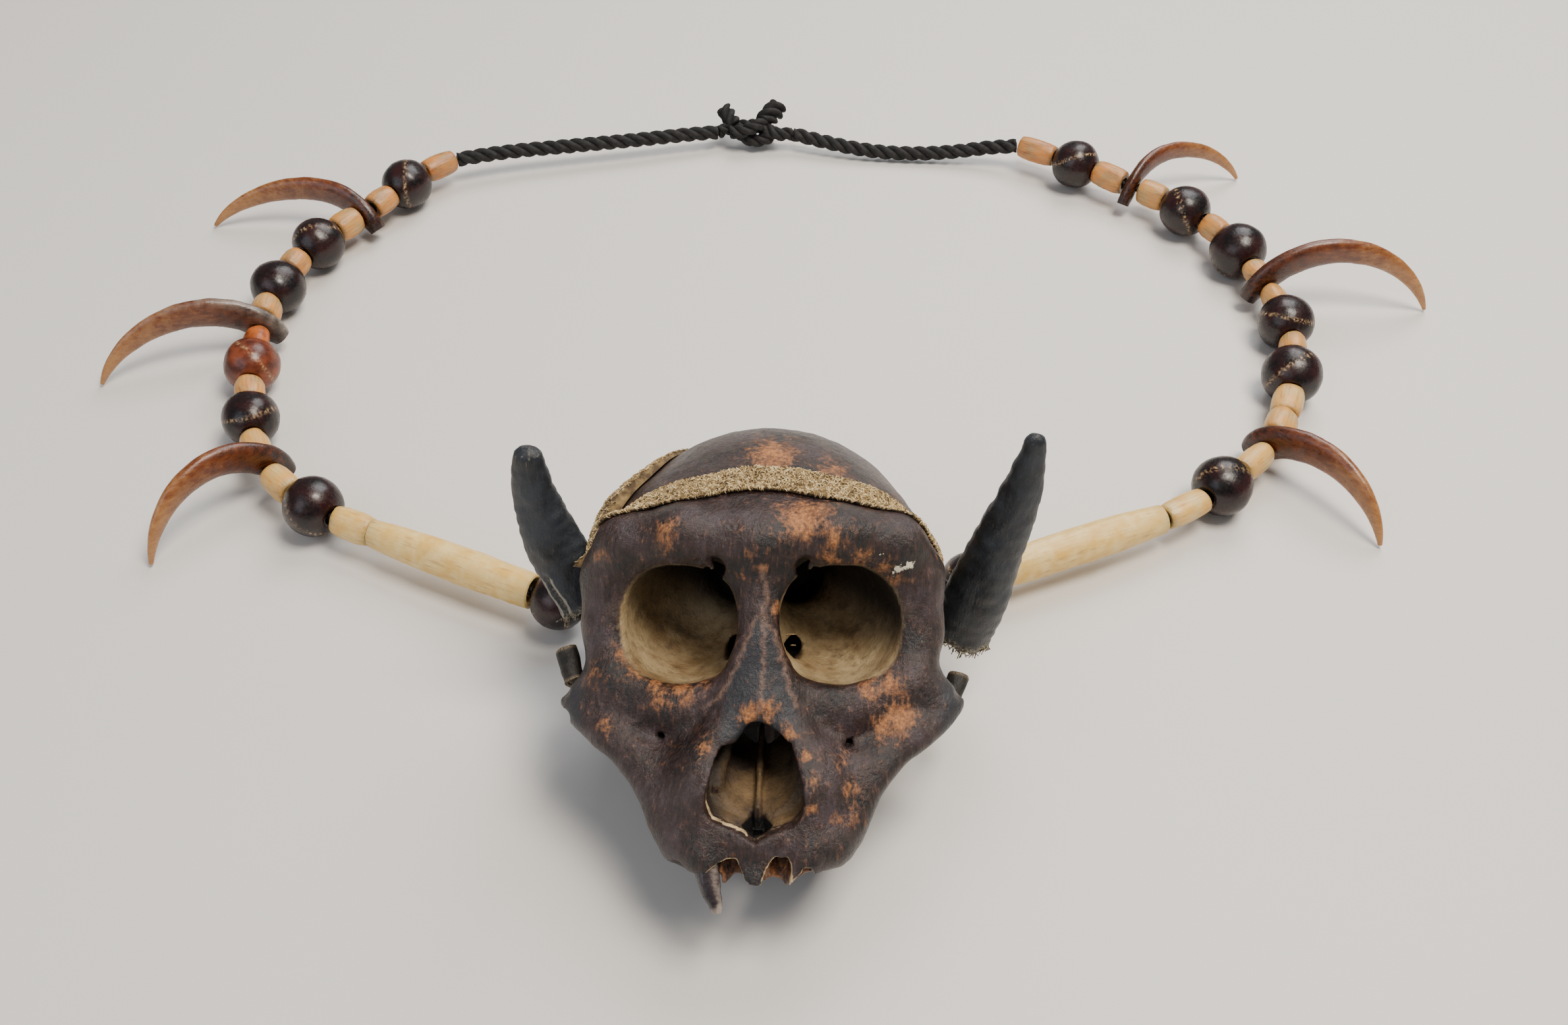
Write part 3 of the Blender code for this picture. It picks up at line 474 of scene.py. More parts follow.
@dataclass(frozen=True)
class OldHorn:
    """Weathered blue-black horn: satin, with lengthwise scratches and pale worn nicks."""

    dark: str = "#0e1013"
    bloom: str = "#2b3138"
    worn: str = "#4a4640"
    pale: str = "#8f8a7c"
    fray_dark: str = "#241f19"
    fray_pale: str = "#a89c80"

    def material(self):
        """Builds the material."""
        made, tree, shader = new_material("old_horn")
        add = partial(add_node, tree)
        at = in_millimetres(add)
        drawn = add("Mapping", {0: at, "Scale": (1.0, 1.0, 0.12)})
        streak = add("TexNoise", {0: drawn, "Scale": 1 / 0.55, "Detail": 5.0, "Roughness": 0.65})
        broad = add("TexNoise", {0: at, "Scale": 1 / 7.0, "Detail": 4.0})
        fine = add("TexNoise", {0: at, "Scale": 1 / 0.5, "Detail": 4.0, "Roughness": 0.6})
        cloud = add("MapRange", {0: broad, 1: 0.34, 2: 0.66})
        body = add("Mix", {0: cloud, 6: self.dark, 7: self.bloom}, data_type="RGBA")
        scratch = add("MapRange", {0: streak, 1: 0.56, 2: 0.76, 3: 0.0, 4: 0.55})
        body = add("Mix", {0: scratch, 6: body, 7: self.worn}, data_type="RGBA")
        nick = add("Attribute", out="Fac", attribute_name="worn")
        broken = add("Math", {0: streak, 1: -0.5}, operation="ADD")
        nick = add("Math", {0: nick, 1: broken}, operation="ADD")
        nick = add("MapRange", {0: nick, 1: 0.34, 2: 0.62}, interpolation_type="SMOOTHSTEP")
        body = add("Mix", {0: nick, 6: body, 7: self.pale}, data_type="RGBA")
        share = add("MapRange", {0: fine, 1: 0.42, 2: 0.58})
        fray = add("Mix", {0: share, 6: self.fray_dark, 7: self.fray_pale}, data_type="RGBA")
        frayed = add("Attribute", out="Fac", attribute_name="fibrous")
        body = add("Mix", {0: frayed, 6: body, 7: fray}, data_type="RGBA")
        tree.links.new(body, shader.inputs["Base Color"])
        gloss = add("MapRange", {0: broad, 1: 0.3, 2: 0.7, 3: 0.34, 4: 0.55})
        tree.links.new(gloss, shader.inputs["Roughness"])
        low = add("Bump", {"Height": streak, "Distance": 0.14 * MM})
        low = add("Bump", {"Height": fine, "Distance": 0.1 * MM, "Normal": low})
        tree.links.new(low, shader.inputs["Normal"])
        return made


@dataclass(frozen=True)
class BeadBone:
    """Cut and rubbed bone: creamy and satin near the skull, stained orange-tan further round."""

    cream: str = "#e6b95c"
    pale: str = "#f2d48c"
    stained: str = "#c4682a"
    deep: str = "#733512"
    # Dark colour laid in the bore and at the ends
    grime: str = "#24120a"

    def material(self):
        """Builds the material."""
        made, tree, shader = new_material("bead_bone")
        add = partial(add_node, tree)
        at = in_millimetres(add)
        drawn = add("Mapping", {0: at, "Scale": (1.0, 1.0, 0.1)})
        grain = add("TexNoise", {0: drawn, "Scale": 1 / 0.6, "Detail": 5.0, "Roughness": 0.65})
        cloud = add("TexNoise", {0: at, "Scale": 1 / 3.5, "Detail": 4.0})
        fine = add("TexNoise", {0: at, "Scale": 1 / 0.4, "Detail": 2.0})
        share = add("MapRange", {0: cloud, 1: 0.35, 2: 0.65})
        fresh = add("Mix", {0: share, 6: self.cream, 7: self.pale}, data_type="RGBA")
        old = add("Mix", {0: share, 6: self.stained, 7: self.deep}, data_type="RGBA")
        age = add("Attribute", out="Fac", attribute_name="age")
        broken = add("Math", {0: grain, 1: 0.9, 2: -0.45}, operation="MULTIPLY_ADD")
        age = add("Math", {0: age, 1: broken}, operation="ADD", use_clamp=True)
        body = add("Mix", {0: age, 6: fresh, 7: old}, data_type="RGBA")
        line = add("MapRange", {0: grain, 1: 0.58, 2: 0.76, 3: 0.0, 4: 0.5})
        body = add("Mix", {0: line, 6: body, 7: self.deep}, data_type="RGBA")
        # Darker in and round the bore and at the bead ends, broken into patches
        grime = add("Attribute", out="Fac", attribute_name="grime")
        patchy = add("MapRange", {0: cloud, 1: 0.3, 2: 0.6, 3: 0.55, 4: 1.0})
        grime = add("Math", {0: grime, 1: patchy}, operation="MULTIPLY")
        body = add("Mix", {0: grime, 6: body, 7: self.grime}, data_type="RGBA")
        tree.links.new(body, shader.inputs["Base Color"])
        gloss = add("MapRange", {0: grain, 1: 0.3, 2: 0.7, 3: 0.26, 4: 0.46})
        tree.links.new(gloss, shader.inputs["Roughness"])
        low = add("Bump", {"Height": grain, "Distance": 0.1 * MM})
        low = add("Bump", {"Height": fine, "Distance": 0.04 * MM, "Normal": low})
        tree.links.new(low, shader.inputs["Normal"])
        shader.inputs["Subsurface Weight"].default_value = 0.08
        shader.inputs["Subsurface Radius"].default_value = (0.002, 0.0012, 0.0006)
        shader.inputs["IOR"].default_value = 1.54
        return made


@dataclass(frozen=True)
class PolishedSeed:
    """Hard round seed, oiled by handling: near-black brown skin with a soft gloss."""

    name: str = "polished_seed"
    dark: str = "#0b0506"
    brown: str = "#2d1211"
    speck: str = "#6e3a22"
    seam: str = "#d2ae80"

    def material(self):
        """Builds the material."""
        made, tree, shader = new_material(self.name)
        add = partial(add_node, tree)
        at = in_millimetres(add)
        cloud = add("TexNoise", {0: at, "Scale": 1 / 4.0, "Detail": 5.0})
        fine = add("TexNoise", {0: at, "Scale": 1 / 0.6, "Detail": 4.0})
        share = add("MapRange", {0: cloud, 1: 0.38, 2: 0.68})
        body = add("Mix", {0: share, 6: self.dark, 7: self.brown}, data_type="RGBA")
        speck = add("MapRange", {0: fine, 1: 0.64, 2: 0.78, 3: 0.0, 4: 0.25})
        body = add("Mix", {0: speck, 6: body, 7: self.speck}, data_type="RGBA")
        line = add("Attribute", out="Fac", attribute_name="seam")
        broken = add("MapRange", {0: fine, 1: 0.42, 2: 0.6})
        line = add("Math", {0: line, 1: broken}, operation="MULTIPLY")
        body = add("Mix", {0: line, 6: body, 7: self.seam}, data_type="RGBA")
        tree.links.new(body, shader.inputs["Base Color"])
        gloss = add("MapRange", {0: fine, 1: 0.3, 2: 0.7, 3: 0.22, 4: 0.4})
        tree.links.new(gloss, shader.inputs["Roughness"])
        low = add("Bump", {"Height": cloud, "Distance": 0.12 * MM})
        low = add("Bump", {"Height": fine, "Distance": 0.04 * MM, "Normal": low})
        tree.links.new(low, shader.inputs["Normal"])
        return made


@dataclass(frozen=True)
class StainedTusk:
    """Tooth enamel stained brown and polished by handling, paler where it is rubbed."""

    name: str = "stained_tusk"
    root: str = "#241009"
    body: str = "#6b3515"
    light: str = "#b07b45"
    grey: str = "#8f887c"

    def material(self):
        """Builds the material."""
        made, tree, shader = new_material(self.name)
        add = partial(add_node, tree)
        at = in_millimetres(add)
        drawn = add("Mapping", {0: at, "Scale": (0.2, 1.0, 1.0)})
        cloud = add("TexNoise", {0: at, "Scale": 1 / 3.0, "Detail": 5.0, "Roughness": 0.6})
        streak = add("TexNoise", {0: drawn, "Scale": 1 / 0.7, "Detail": 5.0, "Roughness": 0.65})
        fine = add("TexNoise", {0: at, "Scale": 1 / 0.5, "Detail": 3.0})
        along = add("Attribute", out="Fac", attribute_name="along")
        uneven = add("Math", {0: cloud, 1: 0.7, 2: -0.35}, operation="MULTIPLY_ADD")
        along = add("Math", {0: along, 1: uneven}, operation="ADD")
        drift = add("Math", {0: streak, 1: 0.8, 2: -0.4}, operation="MULTIPLY_ADD")
        along = add("Math", {0: along, 1: drift}, operation="ADD")
        body = add("ValToRGB", {0: along},
                   stops=((0.05, self.root), (1.0, self.light), (0.45, self.body)))
        ridge = add("Attribute", out="Fac", attribute_name="ridge")
        share = add("MapRange", {0: cloud, 1: 0.3, 2: 0.6})
        ridge = add("Math", {0: ridge, 1: share}, operation="MULTIPLY")
        body = add("Mix", {0: ridge, 6: body, 7: self.grey}, data_type="RGBA")
        speck = add("MapRange", {0: fine, 1: 0.6, 2: 0.8, 3: 0.0, 4: 0.4})
        body = add("Mix", {0: speck, 6: body, 7: self.root}, data_type="RGBA")
        tree.links.new(body, shader.inputs["Base Color"])
        gloss = add("MapRange", {0: fine, 1: 0.3, 2: 0.7, 3: 0.22, 4: 0.42})
        tree.links.new(gloss, shader.inputs["Roughness"])
        low = add("Bump", {"Height": cloud, "Distance": 0.14 * MM})
        low = add("Bump", {"Height": streak, "Distance": 0.08 * MM, "Normal": low})
        tree.links.new(low, shader.inputs["Normal"])
        shader.inputs["IOR"].default_value = 1.62
        return made


@dataclass(frozen=True)
class PlantFibre:
    """Looped bast fibre in khaki, with painted shade: dark low between the loops and on the ribbon
    under them, paler towards the loop tops: quite matt.
    """

    name: str = "plant_fibre"
    shadow: str = "#4a3820"
    khaki: str = "#a88c5a"
    pale: str = "#e0cb9e"

    def material(self):
        """Builds the material."""
        made, tree, shader = new_material(self.name)
        add = partial(add_node, tree)
        at = in_millimetres(add)
        cloud = add("TexNoise", {0: at, "Scale": 1 / 2.2, "Detail": 3.0})
        strand = add("TexNoise", {0: at, "Scale": 1 / 0.18, "Detail": 2.0})
        loft = add("Attribute", out="Fac", attribute_name="loft")
        uneven = add("Math", {0: cloud, 1: 1.0, 2: -0.5}, operation="MULTIPLY_ADD")
        loft = add("Math", {0: loft, 1: uneven}, operation="ADD")
        # Painted shade: the ramp runs from the shadow colour low down between the loops to pale on
        # their tops, with each loop's own random tone
        body = add("ValToRGB", {0: loft},
                   stops=((0.05, self.shadow), (0.95, self.pale), (0.45, self.khaki)))
        tree.links.new(body, shader.inputs["Base Color"])
        shader.inputs["Roughness"].default_value = 0.92
        shader.inputs["Sheen Weight"].default_value = 0.15
        low = add("Bump", {"Height": strand, "Distance": 0.05 * MM})
        tree.links.new(low, shader.inputs["Normal"])
        return made


@dataclass(frozen=True)
class BlackCord:
    """Laid black fibre rope: matt, a little dusty on top of the strands."""

    name: str = "black_cord"
    deep: str = "#060606"
    dusty: str = "#232120"

    def material(self):
        """Builds the material."""
        made, tree, shader = new_material(self.name)
        add = partial(add_node, tree)
        at = in_millimetres(add)
        cloud = add("TexNoise", {0: at, "Scale": 1 / 1.6, "Detail": 3.0})
        strand = add("TexNoise", {0: at, "Scale": 1 / 0.22, "Detail": 3.0})
        share = add("MapRange", {0: cloud, 1: 0.35, 2: 0.7})
        body = add("Mix", {0: share, 6: self.deep, 7: self.dusty}, data_type="RGBA")
        tree.links.new(body, shader.inputs["Base Color"])
        gloss = add("MapRange", {0: strand, 1: 0.3, 2: 0.7, 3: 0.62, 4: 0.9})
        tree.links.new(gloss, shader.inputs["Roughness"])
        low = add("Bump", {"Height": strand, "Distance": 0.12 * MM})
        tree.links.new(low, shader.inputs["Normal"])
        return made


@dataclass(frozen=True)
class WornHide:
    """Rolled hide thong, dark and greasy outside and pale on its cut edge."""

    dark: str = "#0a0a08"
    brown: str = "#211c15"
    edge: str = "#8f7e60"

    def material(self):
        """Builds the material."""
        made, tree, shader = new_material("worn_hide")
        add = partial(add_node, tree)
        at = in_millimetres(add)
        cloud = add("TexNoise", {0: at, "Scale": 1 / 1.5, "Detail": 4.0})
        fine = add("TexNoise", {0: at, "Scale": 1 / 0.3, "Detail": 3.0})
        share = add("MapRange", {0: cloud, 1: 0.35, 2: 0.65})
        body = add("Mix", {0: share, 6: self.dark, 7: self.brown}, data_type="RGBA")
        cut = add("Attribute", out="Fac", attribute_name="cut")
        broken = add("MapRange", {0: fine, 1: 0.4, 2: 0.6, 3: 0.2, 4: 0.9})
        cut = add("Math", {0: cut, 1: broken}, operation="MULTIPLY")
        body = add("Mix", {0: cut, 6: body, 7: self.edge}, data_type="RGBA")
        tree.links.new(body, shader.inputs["Base Color"])
        gloss = add("MapRange", {0: fine, 1: 0.3, 2: 0.7, 3: 0.5, 4: 0.75})
        tree.links.new(gloss, shader.inputs["Roughness"])
        low = add("Bump", {"Height": fine, "Distance": 0.14 * MM})
        tree.links.new(low, shader.inputs["Normal"])
        return made


@dataclass(frozen=True)
class PaleTop:
    """Plain pale matt surface for the necklace to lie on."""

    colour: str = "#dedbd6"

    def material(self):
        """Builds the material."""
        made, _, shader = new_material("pale_top")
        shader.inputs["Base Color"].default_value = linear(self.colour)
        shader.inputs["Roughness"].default_value = 0.55
        return made


# Skull


@dataclass
class SkullPose:
    """Where the skull's own frame sits on the layout."""

    origin: tuple[float, float, float] = (-3.6, 139.5, 22.0)
    tilt_back: float = 31.0
    lean: float = 2.0
    yaw: float = 2.2

    def matrix(self) -> Matrix:
        """From the skull's frame to the layout, both in millimetres."""
        at = Vector(self.origin) - Vector(LAYOUT_CENTRE)
        return (Matrix.Translation(at)
                @ Matrix.Rotation(math.radians(-self.tilt_back), 4, "X")
                @ Matrix.Rotation(math.radians(-self.lean), 4, "Y")
                @ Matrix.Rotation(math.radians(-self.yaw), 4, "Z"))


class BoneField:
    """Distance to the bone's surface, negative inside, on a grid that is finer over the face."""

    FAR = 9.0
    REACH = 4.0

    def __init__(self, xs: Array, ys: Array, zs: Array) -> None:
        """Starts with nothing but air."""
        self.axes = [a.astype(np.float32) for a in (xs, ys, zs)]
        self.values = np.full([len(a) for a in self.axes], self.FAR, np.float32)

    def _block(self, low: Array, high: Array):
        """The part of the grid between two corners, with its coordinates."""
        cut = tuple(slice(*np.searchsorted(a, (lo, hi)))
                    for a, lo, hi in zip(self.axes, low, high))
        x, y, z = (a[c] for a, c in zip(self.axes, cut))
        return cut, x[:, None, None], y[None, :, None], z[None, None, :]

    def _merge(self, cut, distance: Array, soft: float, carve: bool) -> None:
        """Joins a form to the bone, or carves it out, with a soft crease."""
        old = self.values[cut]
        if carve:
            crease = np.maximum(soft - np.abs(old + distance), 0) / soft
            self.values[cut] = np.maximum(old, -distance) + crease * crease * soft / 4
        else:
            crease = np.maximum(soft - np.abs(old - distance), 0) / soft
            self.values[cut] = np.minimum(old, distance) - crease * crease * soft / 4

    def lobe(self, centre, radii, soft: float = 2.0, carve: bool = False, turn: float = 0.0,
             mirrored: bool = True) -> None:
        """Adds or carves an ellipsoid, with its mirror image where it is off the middle.

        Args:
            centre: its middle.
            radii: its half sizes.
            soft: how wide the crease with the rest is.
            carve: whether it is taken away.
            turn: its turn about z, in degrees.
            mirrored: whether the other side gets one as well.
        """
        c, r = np.array(centre, float), np.array(radii, float)
        reach = max(r[:2]) if turn else 0
        span = np.array((max(r[0], reach), max(r[1], reach), r[2])) + soft + self.REACH
        for side in (1, -1) if mirrored and c[0] else (1,):
            mid = c * (side, 1, 1)
            cut, x, y, z = self._block(mid - span, mid + span)
            px, py, pz = x - mid[0], y - mid[1], z - mid[2]
            if turn:
                s, k = math.sin(side * math.radians(turn)), math.cos(math.radians(turn))
                px, py = px * k + py * s, py * k - px * s
            near = np.sqrt((px / r[0]) ** 2 + (py / r[1]) ** 2 + (pz / r[2]) ** 2)
            slope = np.sqrt((px / r[0] ** 2) ** 2 + (py / r[1] ** 2) ** 2 + (pz / r[2] ** 2) ** 2)
            distance = near * (near - 1) / np.maximum(slope, 1e-6)
            self._merge(cut, distance, soft, carve)

    def bar(self, start, end, start_radius: float, end_radius: float, soft: float = 2.0,
            carve: bool = False, mirrored: bool = True) -> None:
        """Adds or carves a round bar, with its mirror image where it is off the middle.

        Args:
            start: one end.
            end: the other end.
            start_radius: its radius at the start.
            end_radius: its radius at the end.
            soft: how wide the crease with the rest is.
            carve: whether it is taken away.
            mirrored: whether the other side gets one as well.
        """
        for side in (1, -1) if mirrored and (start[0] or end[0]) else (1,):
            a = np.array(start, float) * (side, 1, 1)
            b = np.array(end, float) * (side, 1, 1)
            span = max(start_radius, end_radius) + soft + self.REACH
            cut, x, y, z = self._block(np.minimum(a, b) - span, np.maximum(a, b) + span)
            d = b - a
            px, py, pz = x - a[0], y - a[1], z - a[2]
            t = np.clip((px * d[0] + py * d[1] + pz * d[2]) / max(d @ d, 1e-6), 0, 1)
            distance = np.sqrt((px - t * d[0]) ** 2 + (py - t * d[1]) ** 2
                               + (pz - t * d[2]) ** 2)
            distance -= start_radius + (end_radius - start_radius) * t
            self._merge(cut, distance, soft, carve)

    def chain(self, *stations: tuple, soft: float = 2.0, carve: bool = False,
              mirrored: bool = True) -> None:
        """A run of bars through stations, each a point with a radius."""
        for (a, ra), (b, rb) in zip(stations, stations[1:]):
            self.bar(a, b, ra, rb, soft, carve, mirrored)

    def everywhere(self) -> tuple[Array, Array, Array]:
        """The grid's coordinates, shaped so that they spread over it."""
        x, y, z = self.axes
        return x[:, None, None], y[None, :, None], z[None, None, :]

    def soften(self, passes: int, growth: float) -> None:
        """Rounds every crease and ridge, and gives back the thickness that this costs."""
        for _ in range(passes):
            for axis in range(3):
                v = np.moveaxis(self.values, axis, 0)
                v[1:-1] = (v[:-2] + 2 * v[1:-1] + v[2:]) / 4
        self.values -= growth

    def cut(self, distance: Array, soft: float = 0.3) -> None:
        """Carves away where a distance over the whole grid is negative."""
        whole = (slice(None),) * 3
        self._merge(whole, np.broadcast_to(distance, self.values.shape), soft, True)

    def fill(self, distance: Array, soft: float = 1.5) -> None:
        """Adds bone where a distance over the whole grid is negative."""
        whole = (slice(None),) * 3
        self._merge(whole, np.broadcast_to(distance, self.values.shape), soft, False)

    def read(self, points: Array) -> Array:
        """The distance at any points, read between the grid's own."""
        low, share = [], []
        for k, axis in enumerate(self.axes):
            i = np.clip(np.searchsorted(axis, points[:, k]) - 1, 0, len(axis) - 2)
            low.append(i)
            share.append(np.clip((points[:, k] - axis[i]) / (axis[i + 1] - axis[i]), 0, 1))
        total = np.zeros(len(points))
        for corner in range(8):
            bits = [(corner >> k) & 1 for k in range(3)]
            weight = np.prod([s if b else 1 - s for s, b in zip(share, bits)], axis=0)
            total += weight * self.values[low[0] + bits[0], low[1] + bits[1], low[2] + bits[2]]
        return total

    def skin(self) -> tuple[Array, Array]:
        """Wraps the bone in quads.

        Returns:
            The points, and four point numbers a face.
        """
        v = self.values
        inside = v < 0
        count = np.zeros([n - 1 for n in v.shape], np.int8)
        for corner in range(8):
            i, j, k = ((corner >> b) & 1 for b in range(3))
            count += inside[i:i + count.shape[0], j:j + count.shape[1], k:k + count.shape[2]]
        mixed = (count > 0) & (count < 8)
        cells = np.argwhere(mixed)
        number = np.full(mixed.shape, -1, np.int32)
        number[mixed] = np.arange(len(cells))
        total = np.zeros((len(cells), 3))
        hits = np.zeros(len(cells))
        spots = [a[cells[:, k]] for k, a in enumerate(self.axes)]
        steps = [a[cells[:, k] + 1] - a[cells[:, k]] for k, a in enumerate(self.axes)]
        for axis in range(3):
            others = [k for k in range(3) if k != axis]
            for p in (0, 1):
                for q in (0, 1):
                    shift = [0, 0, 0]
                    shift[others[0]], shift[others[1]] = p, q
                    a = v[tuple(cells[:, k] + shift[k] for k in range(3))]
                    shift[axis] = 1
                    b = v[tuple(cells[:, k] + shift[k] for k in range(3))]
                    crossed = (a < 0) != (b < 0)
                    t = np.where(crossed, a / np.where(crossed, a - b, 1), 0)
                    at = [s + shift[k] * w for k, (s, w) in enumerate(zip(spots, steps))]
                    at[axis] = spots[axis] + t * steps[axis]
                    total += np.where(crossed[:, None], np.stack(at, axis=-1), 0)
                    hits += crossed
        points = total / hits[:, None]
        faces = []
        for axis in range(3):
            u, w = [k for k in range(3) if k != axis]
            ahead = [slice(None)] * 3
            ahead[axis] = slice(1, None)
            behind = [slice(None)] * 3
            behind[axis] = slice(None, -1)
            a, b = inside[tuple(behind)], inside[tuple(ahead)]
            edges = np.argwhere(a != b)
            edges = edges[(edges[:, u] > 0) & (edges[:, w] > 0)
                          & (edges[:, u] < v.shape[u] - 1) & (edges[:, w] < v.shape[w] - 1)]
            out = a[tuple(edges.T)]
            corners = []
            for du, dw in ((1, 1), (0, 1), (0, 0), (1, 0)):
                cell = edges.copy()
                cell[:, u] -= du
                cell[:, w] -= dw
                corners.append(number[tuple(cell.T)])
            quad = np.stack(corners, axis=-1)
            flip = out if axis != 1 else ~out
            faces.append(np.where(flip[:, None], quad, quad[:, ::-1]))
        return points, np.vstack(faces)


# Outlines on the skull's face, as x and height on the sloping plane of the nose: the opening
# of the nose, the lower edge of the front wall with its broken tooth sockets, and the slate
# triangle of the nasal bones
NOSE_OUTLINE = [
    (-0.1, 7.4), (-2.6, 9.0), (-5.4, 9.9), (-7.8, 11.0), (-8.9, 13.0), (-8.8, 15.2),
    (-8.3, 17.3), (-7.2, 20.5), (-6.2, 22.1), (-3.7, 22.3), (-2.4, 24.1), (-1.3, 25.5),
    (0.3, 25.8), (2.6, 25.0), (4.6, 23.6), (6.2, 22.5), (7.2, 20.0), (8.2, 17.0), (8.5, 14.0),
    (7.8, 11.6), (6.4, 10.0), (2.8, 9.0),
]
JAW_OUTLINE = [
    (-60.0, 90.0), (-60.0, -20.0), (-11.5, -20.0), (-9.9, 1.9), (-6.5, 4.1), (-5.4, 4.5),
    (-3.4, 4.6), (-2.6, 3.2), (-1.9, 1.3), (-1.1, -0.1), (-0.3, -0.5), (0.7, 0.0), (1.1, 1.3),
    (1.8, 3.0), (2.7, 4.5), (3.4, 5.2), (4.5, 5.0), (5.8, 5.1), (6.2, 3.7), (6.2, 2.1),
    (5.6, 0.4), (7.3, 2.1), (8.2, 3.0), (8.4, 3.8), (9.5, 3.8), (10.1, 2.8), (11.5, -20.0),
    (60.0, -20.0), (60.0, 90.0),
]
SLATE_OUTLINE = [
    (0.0, 43.8), (-1.9, 39.3), (-3.9, 34.5), (-6.0, 30.7), (-6.6, 23.0), (7.5, 23.0),
    (7.2, 27.8), (5.7, 30.8), (4.3, 36.5), (2.6, 40.9),
]
# Lower edge of the wall behind the front tooth sockets, and of the tooth rows at the sides,
# as x and height
BACK_EDGE = [
    (-18.4, 6.2), (-16.8, 3.5), (-14.4, 2.6), (-11.7, 1.2), (-9.9, 1.9), (-6.8, 2.2),
    (-5.9, -1.5), (-5.0, -0.5), (-3.9, 0.9), (-2.7, 0.9), (-1.0, 0.2), (1.5, -0.4), (2.1, 0.2),
    (3.4, 0.3), (4.4, -0.4), (5.0, -1.3), (6.6, -0.6), (8.4, 1.0), (10.0, 1.5), (12.0, 1.4),
    (14.4, 1.9), (16.4, 2.9), (17.6, 4.4),
]
# Seams of the bone, as x and height on the front of the skull
SUTURES = [
    [(0.8, 52.5), (1.1, 49.3), (1.8, 46.7), (0.8, 43.8), (1.0, 41.6), (1.2, 36.5), (0.6, 28.0)],
    [(-0.2, 43.6), (-1.9, 39.3), (-3.9, 34.5), (-6.0, 30.7), (-7.7, 28.8), (-9.4, 27.2)],
    [(0.4, 43.8), (2.6, 40.9), (4.3, 36.5), (5.7, 30.8), (7.2, 27.8)],
]
# Where the patina is rubbed through to tan bone: the place in the skull's frame, the radius
# and how far it is worn
RUBBED_PLACES = [
    (-25.1, 27.4, 33.9, 1.8, 0.9), (-22.4, 25.5, 31.8, 2.0, 1.0), (-18.4, 22.4, 30.4, 1.9, 0.9),
    (-14.0, 20.6, 29.9, 2.0, 1.0), (-9.9, 21.6, 31.1, 1.6, 0.8), (-17.6, 20.5, 28.6, 2.6, 0.9),
    (-12.6, 20.0, 28.6, 2.2, 0.8), (-27.7, 18.5, 23.3, 1.8, 0.7), (-30.3, 24.8, 30.9, 2.0, 0.6),
    (-28.9, 29.4, 52.5, 2.2, 0.7), (25.0, 21.0, 24.7, 3.4, 1.0), (22.3, 19.7, 23.0, 2.4, 0.9),
    (20.2, 21.7, 29.3, 2.6, 0.75), (23.7, 23.0, 29.9, 2.6, 0.8), (24.3, 28.9, 34.1, 1.8, 0.8),
    (21.6, 26.0, 31.8, 2.0, 0.8), (24.1, 30.5, 47.8, 2.0, 0.8), (13.3, 25.9, 52.9, 2.4, 0.8),
    (18.5, 27.4, 52.5, 2.4, 0.9), (22.3, 29.4, 50.3, 2.2, 0.8), (-1.5, 23.3, 54.2, 1.6, 0.5),
    (0.8, 23.9, 51.9, 1.6, 0.5), (-3.1, 24.7, 50.2, 1.5, 0.7), (3.2, 22.7, 44.7, 1.5, 0.7),
    (-1.1, 14.9, 27.4, 2.0, 1.0), (1.8, 15.2, 28.1, 2.2, 1.1), (5.8, 13.4, 24.1, 1.6, 0.9),
    (8.9, 11.0, 21.1, 1.2, 1.0), (10.0, 8.6, 17.8, 1.2, 1.1), (9.8, 6.4, 13.4, 1.3, 1.0),
    (-9.3, 12.4, 21.8, 1.4, 0.7), (15.0, 13.8, 19.5, 2.0, 0.6), (16.7, 11.4, 14.7, 2.2, 0.6),
    (14.3, 8.7, 10.8, 1.8, 0.5), (17.4, 10.4, 9.6, 2.0, 0.5), (5.0, 20.1, 36.8, 1.5, 0.5),
    (7.7, 26.3, 60.0, 4.2, 1.1), (11.5, 27.5, 60.5, 3.0, 0.8), (-16.6, 25.1, 57.4, 3.0, 0.8),
    (13.1, 24.3, 56.5, 3.0, 0.7), (1.8, 46.2, 67.1, 4.6, 1.0), (12.9, 44.6, 64.6, 3.4, 0.7),
    (20.2, 38.1, 60.2, 3.4, 0.6), (-32.0, 27.5, 25.0, 1.8, 0.5), (26.0, 60.0, 57.0, 7.0, 0.5),
    (10.0, 80.0, 55.0, 7.0, 0.5), (-20.0, 70.0, 57.0, 7.0, 0.4), (0.0, 88.0, 46.0, 7.0, 0.4),
]
# Pale chips that cling beside the right brow, and on the ends of the broken cheeks
PALE_FLECKS = [(25.2, 29.0, 50.0, 1.1), (27.2, 29.4, 50.8, 1.1), (22.0, 28.6, 53.4, 0.8),
               (-35.6, 28.0, 24.0, 1.0)]


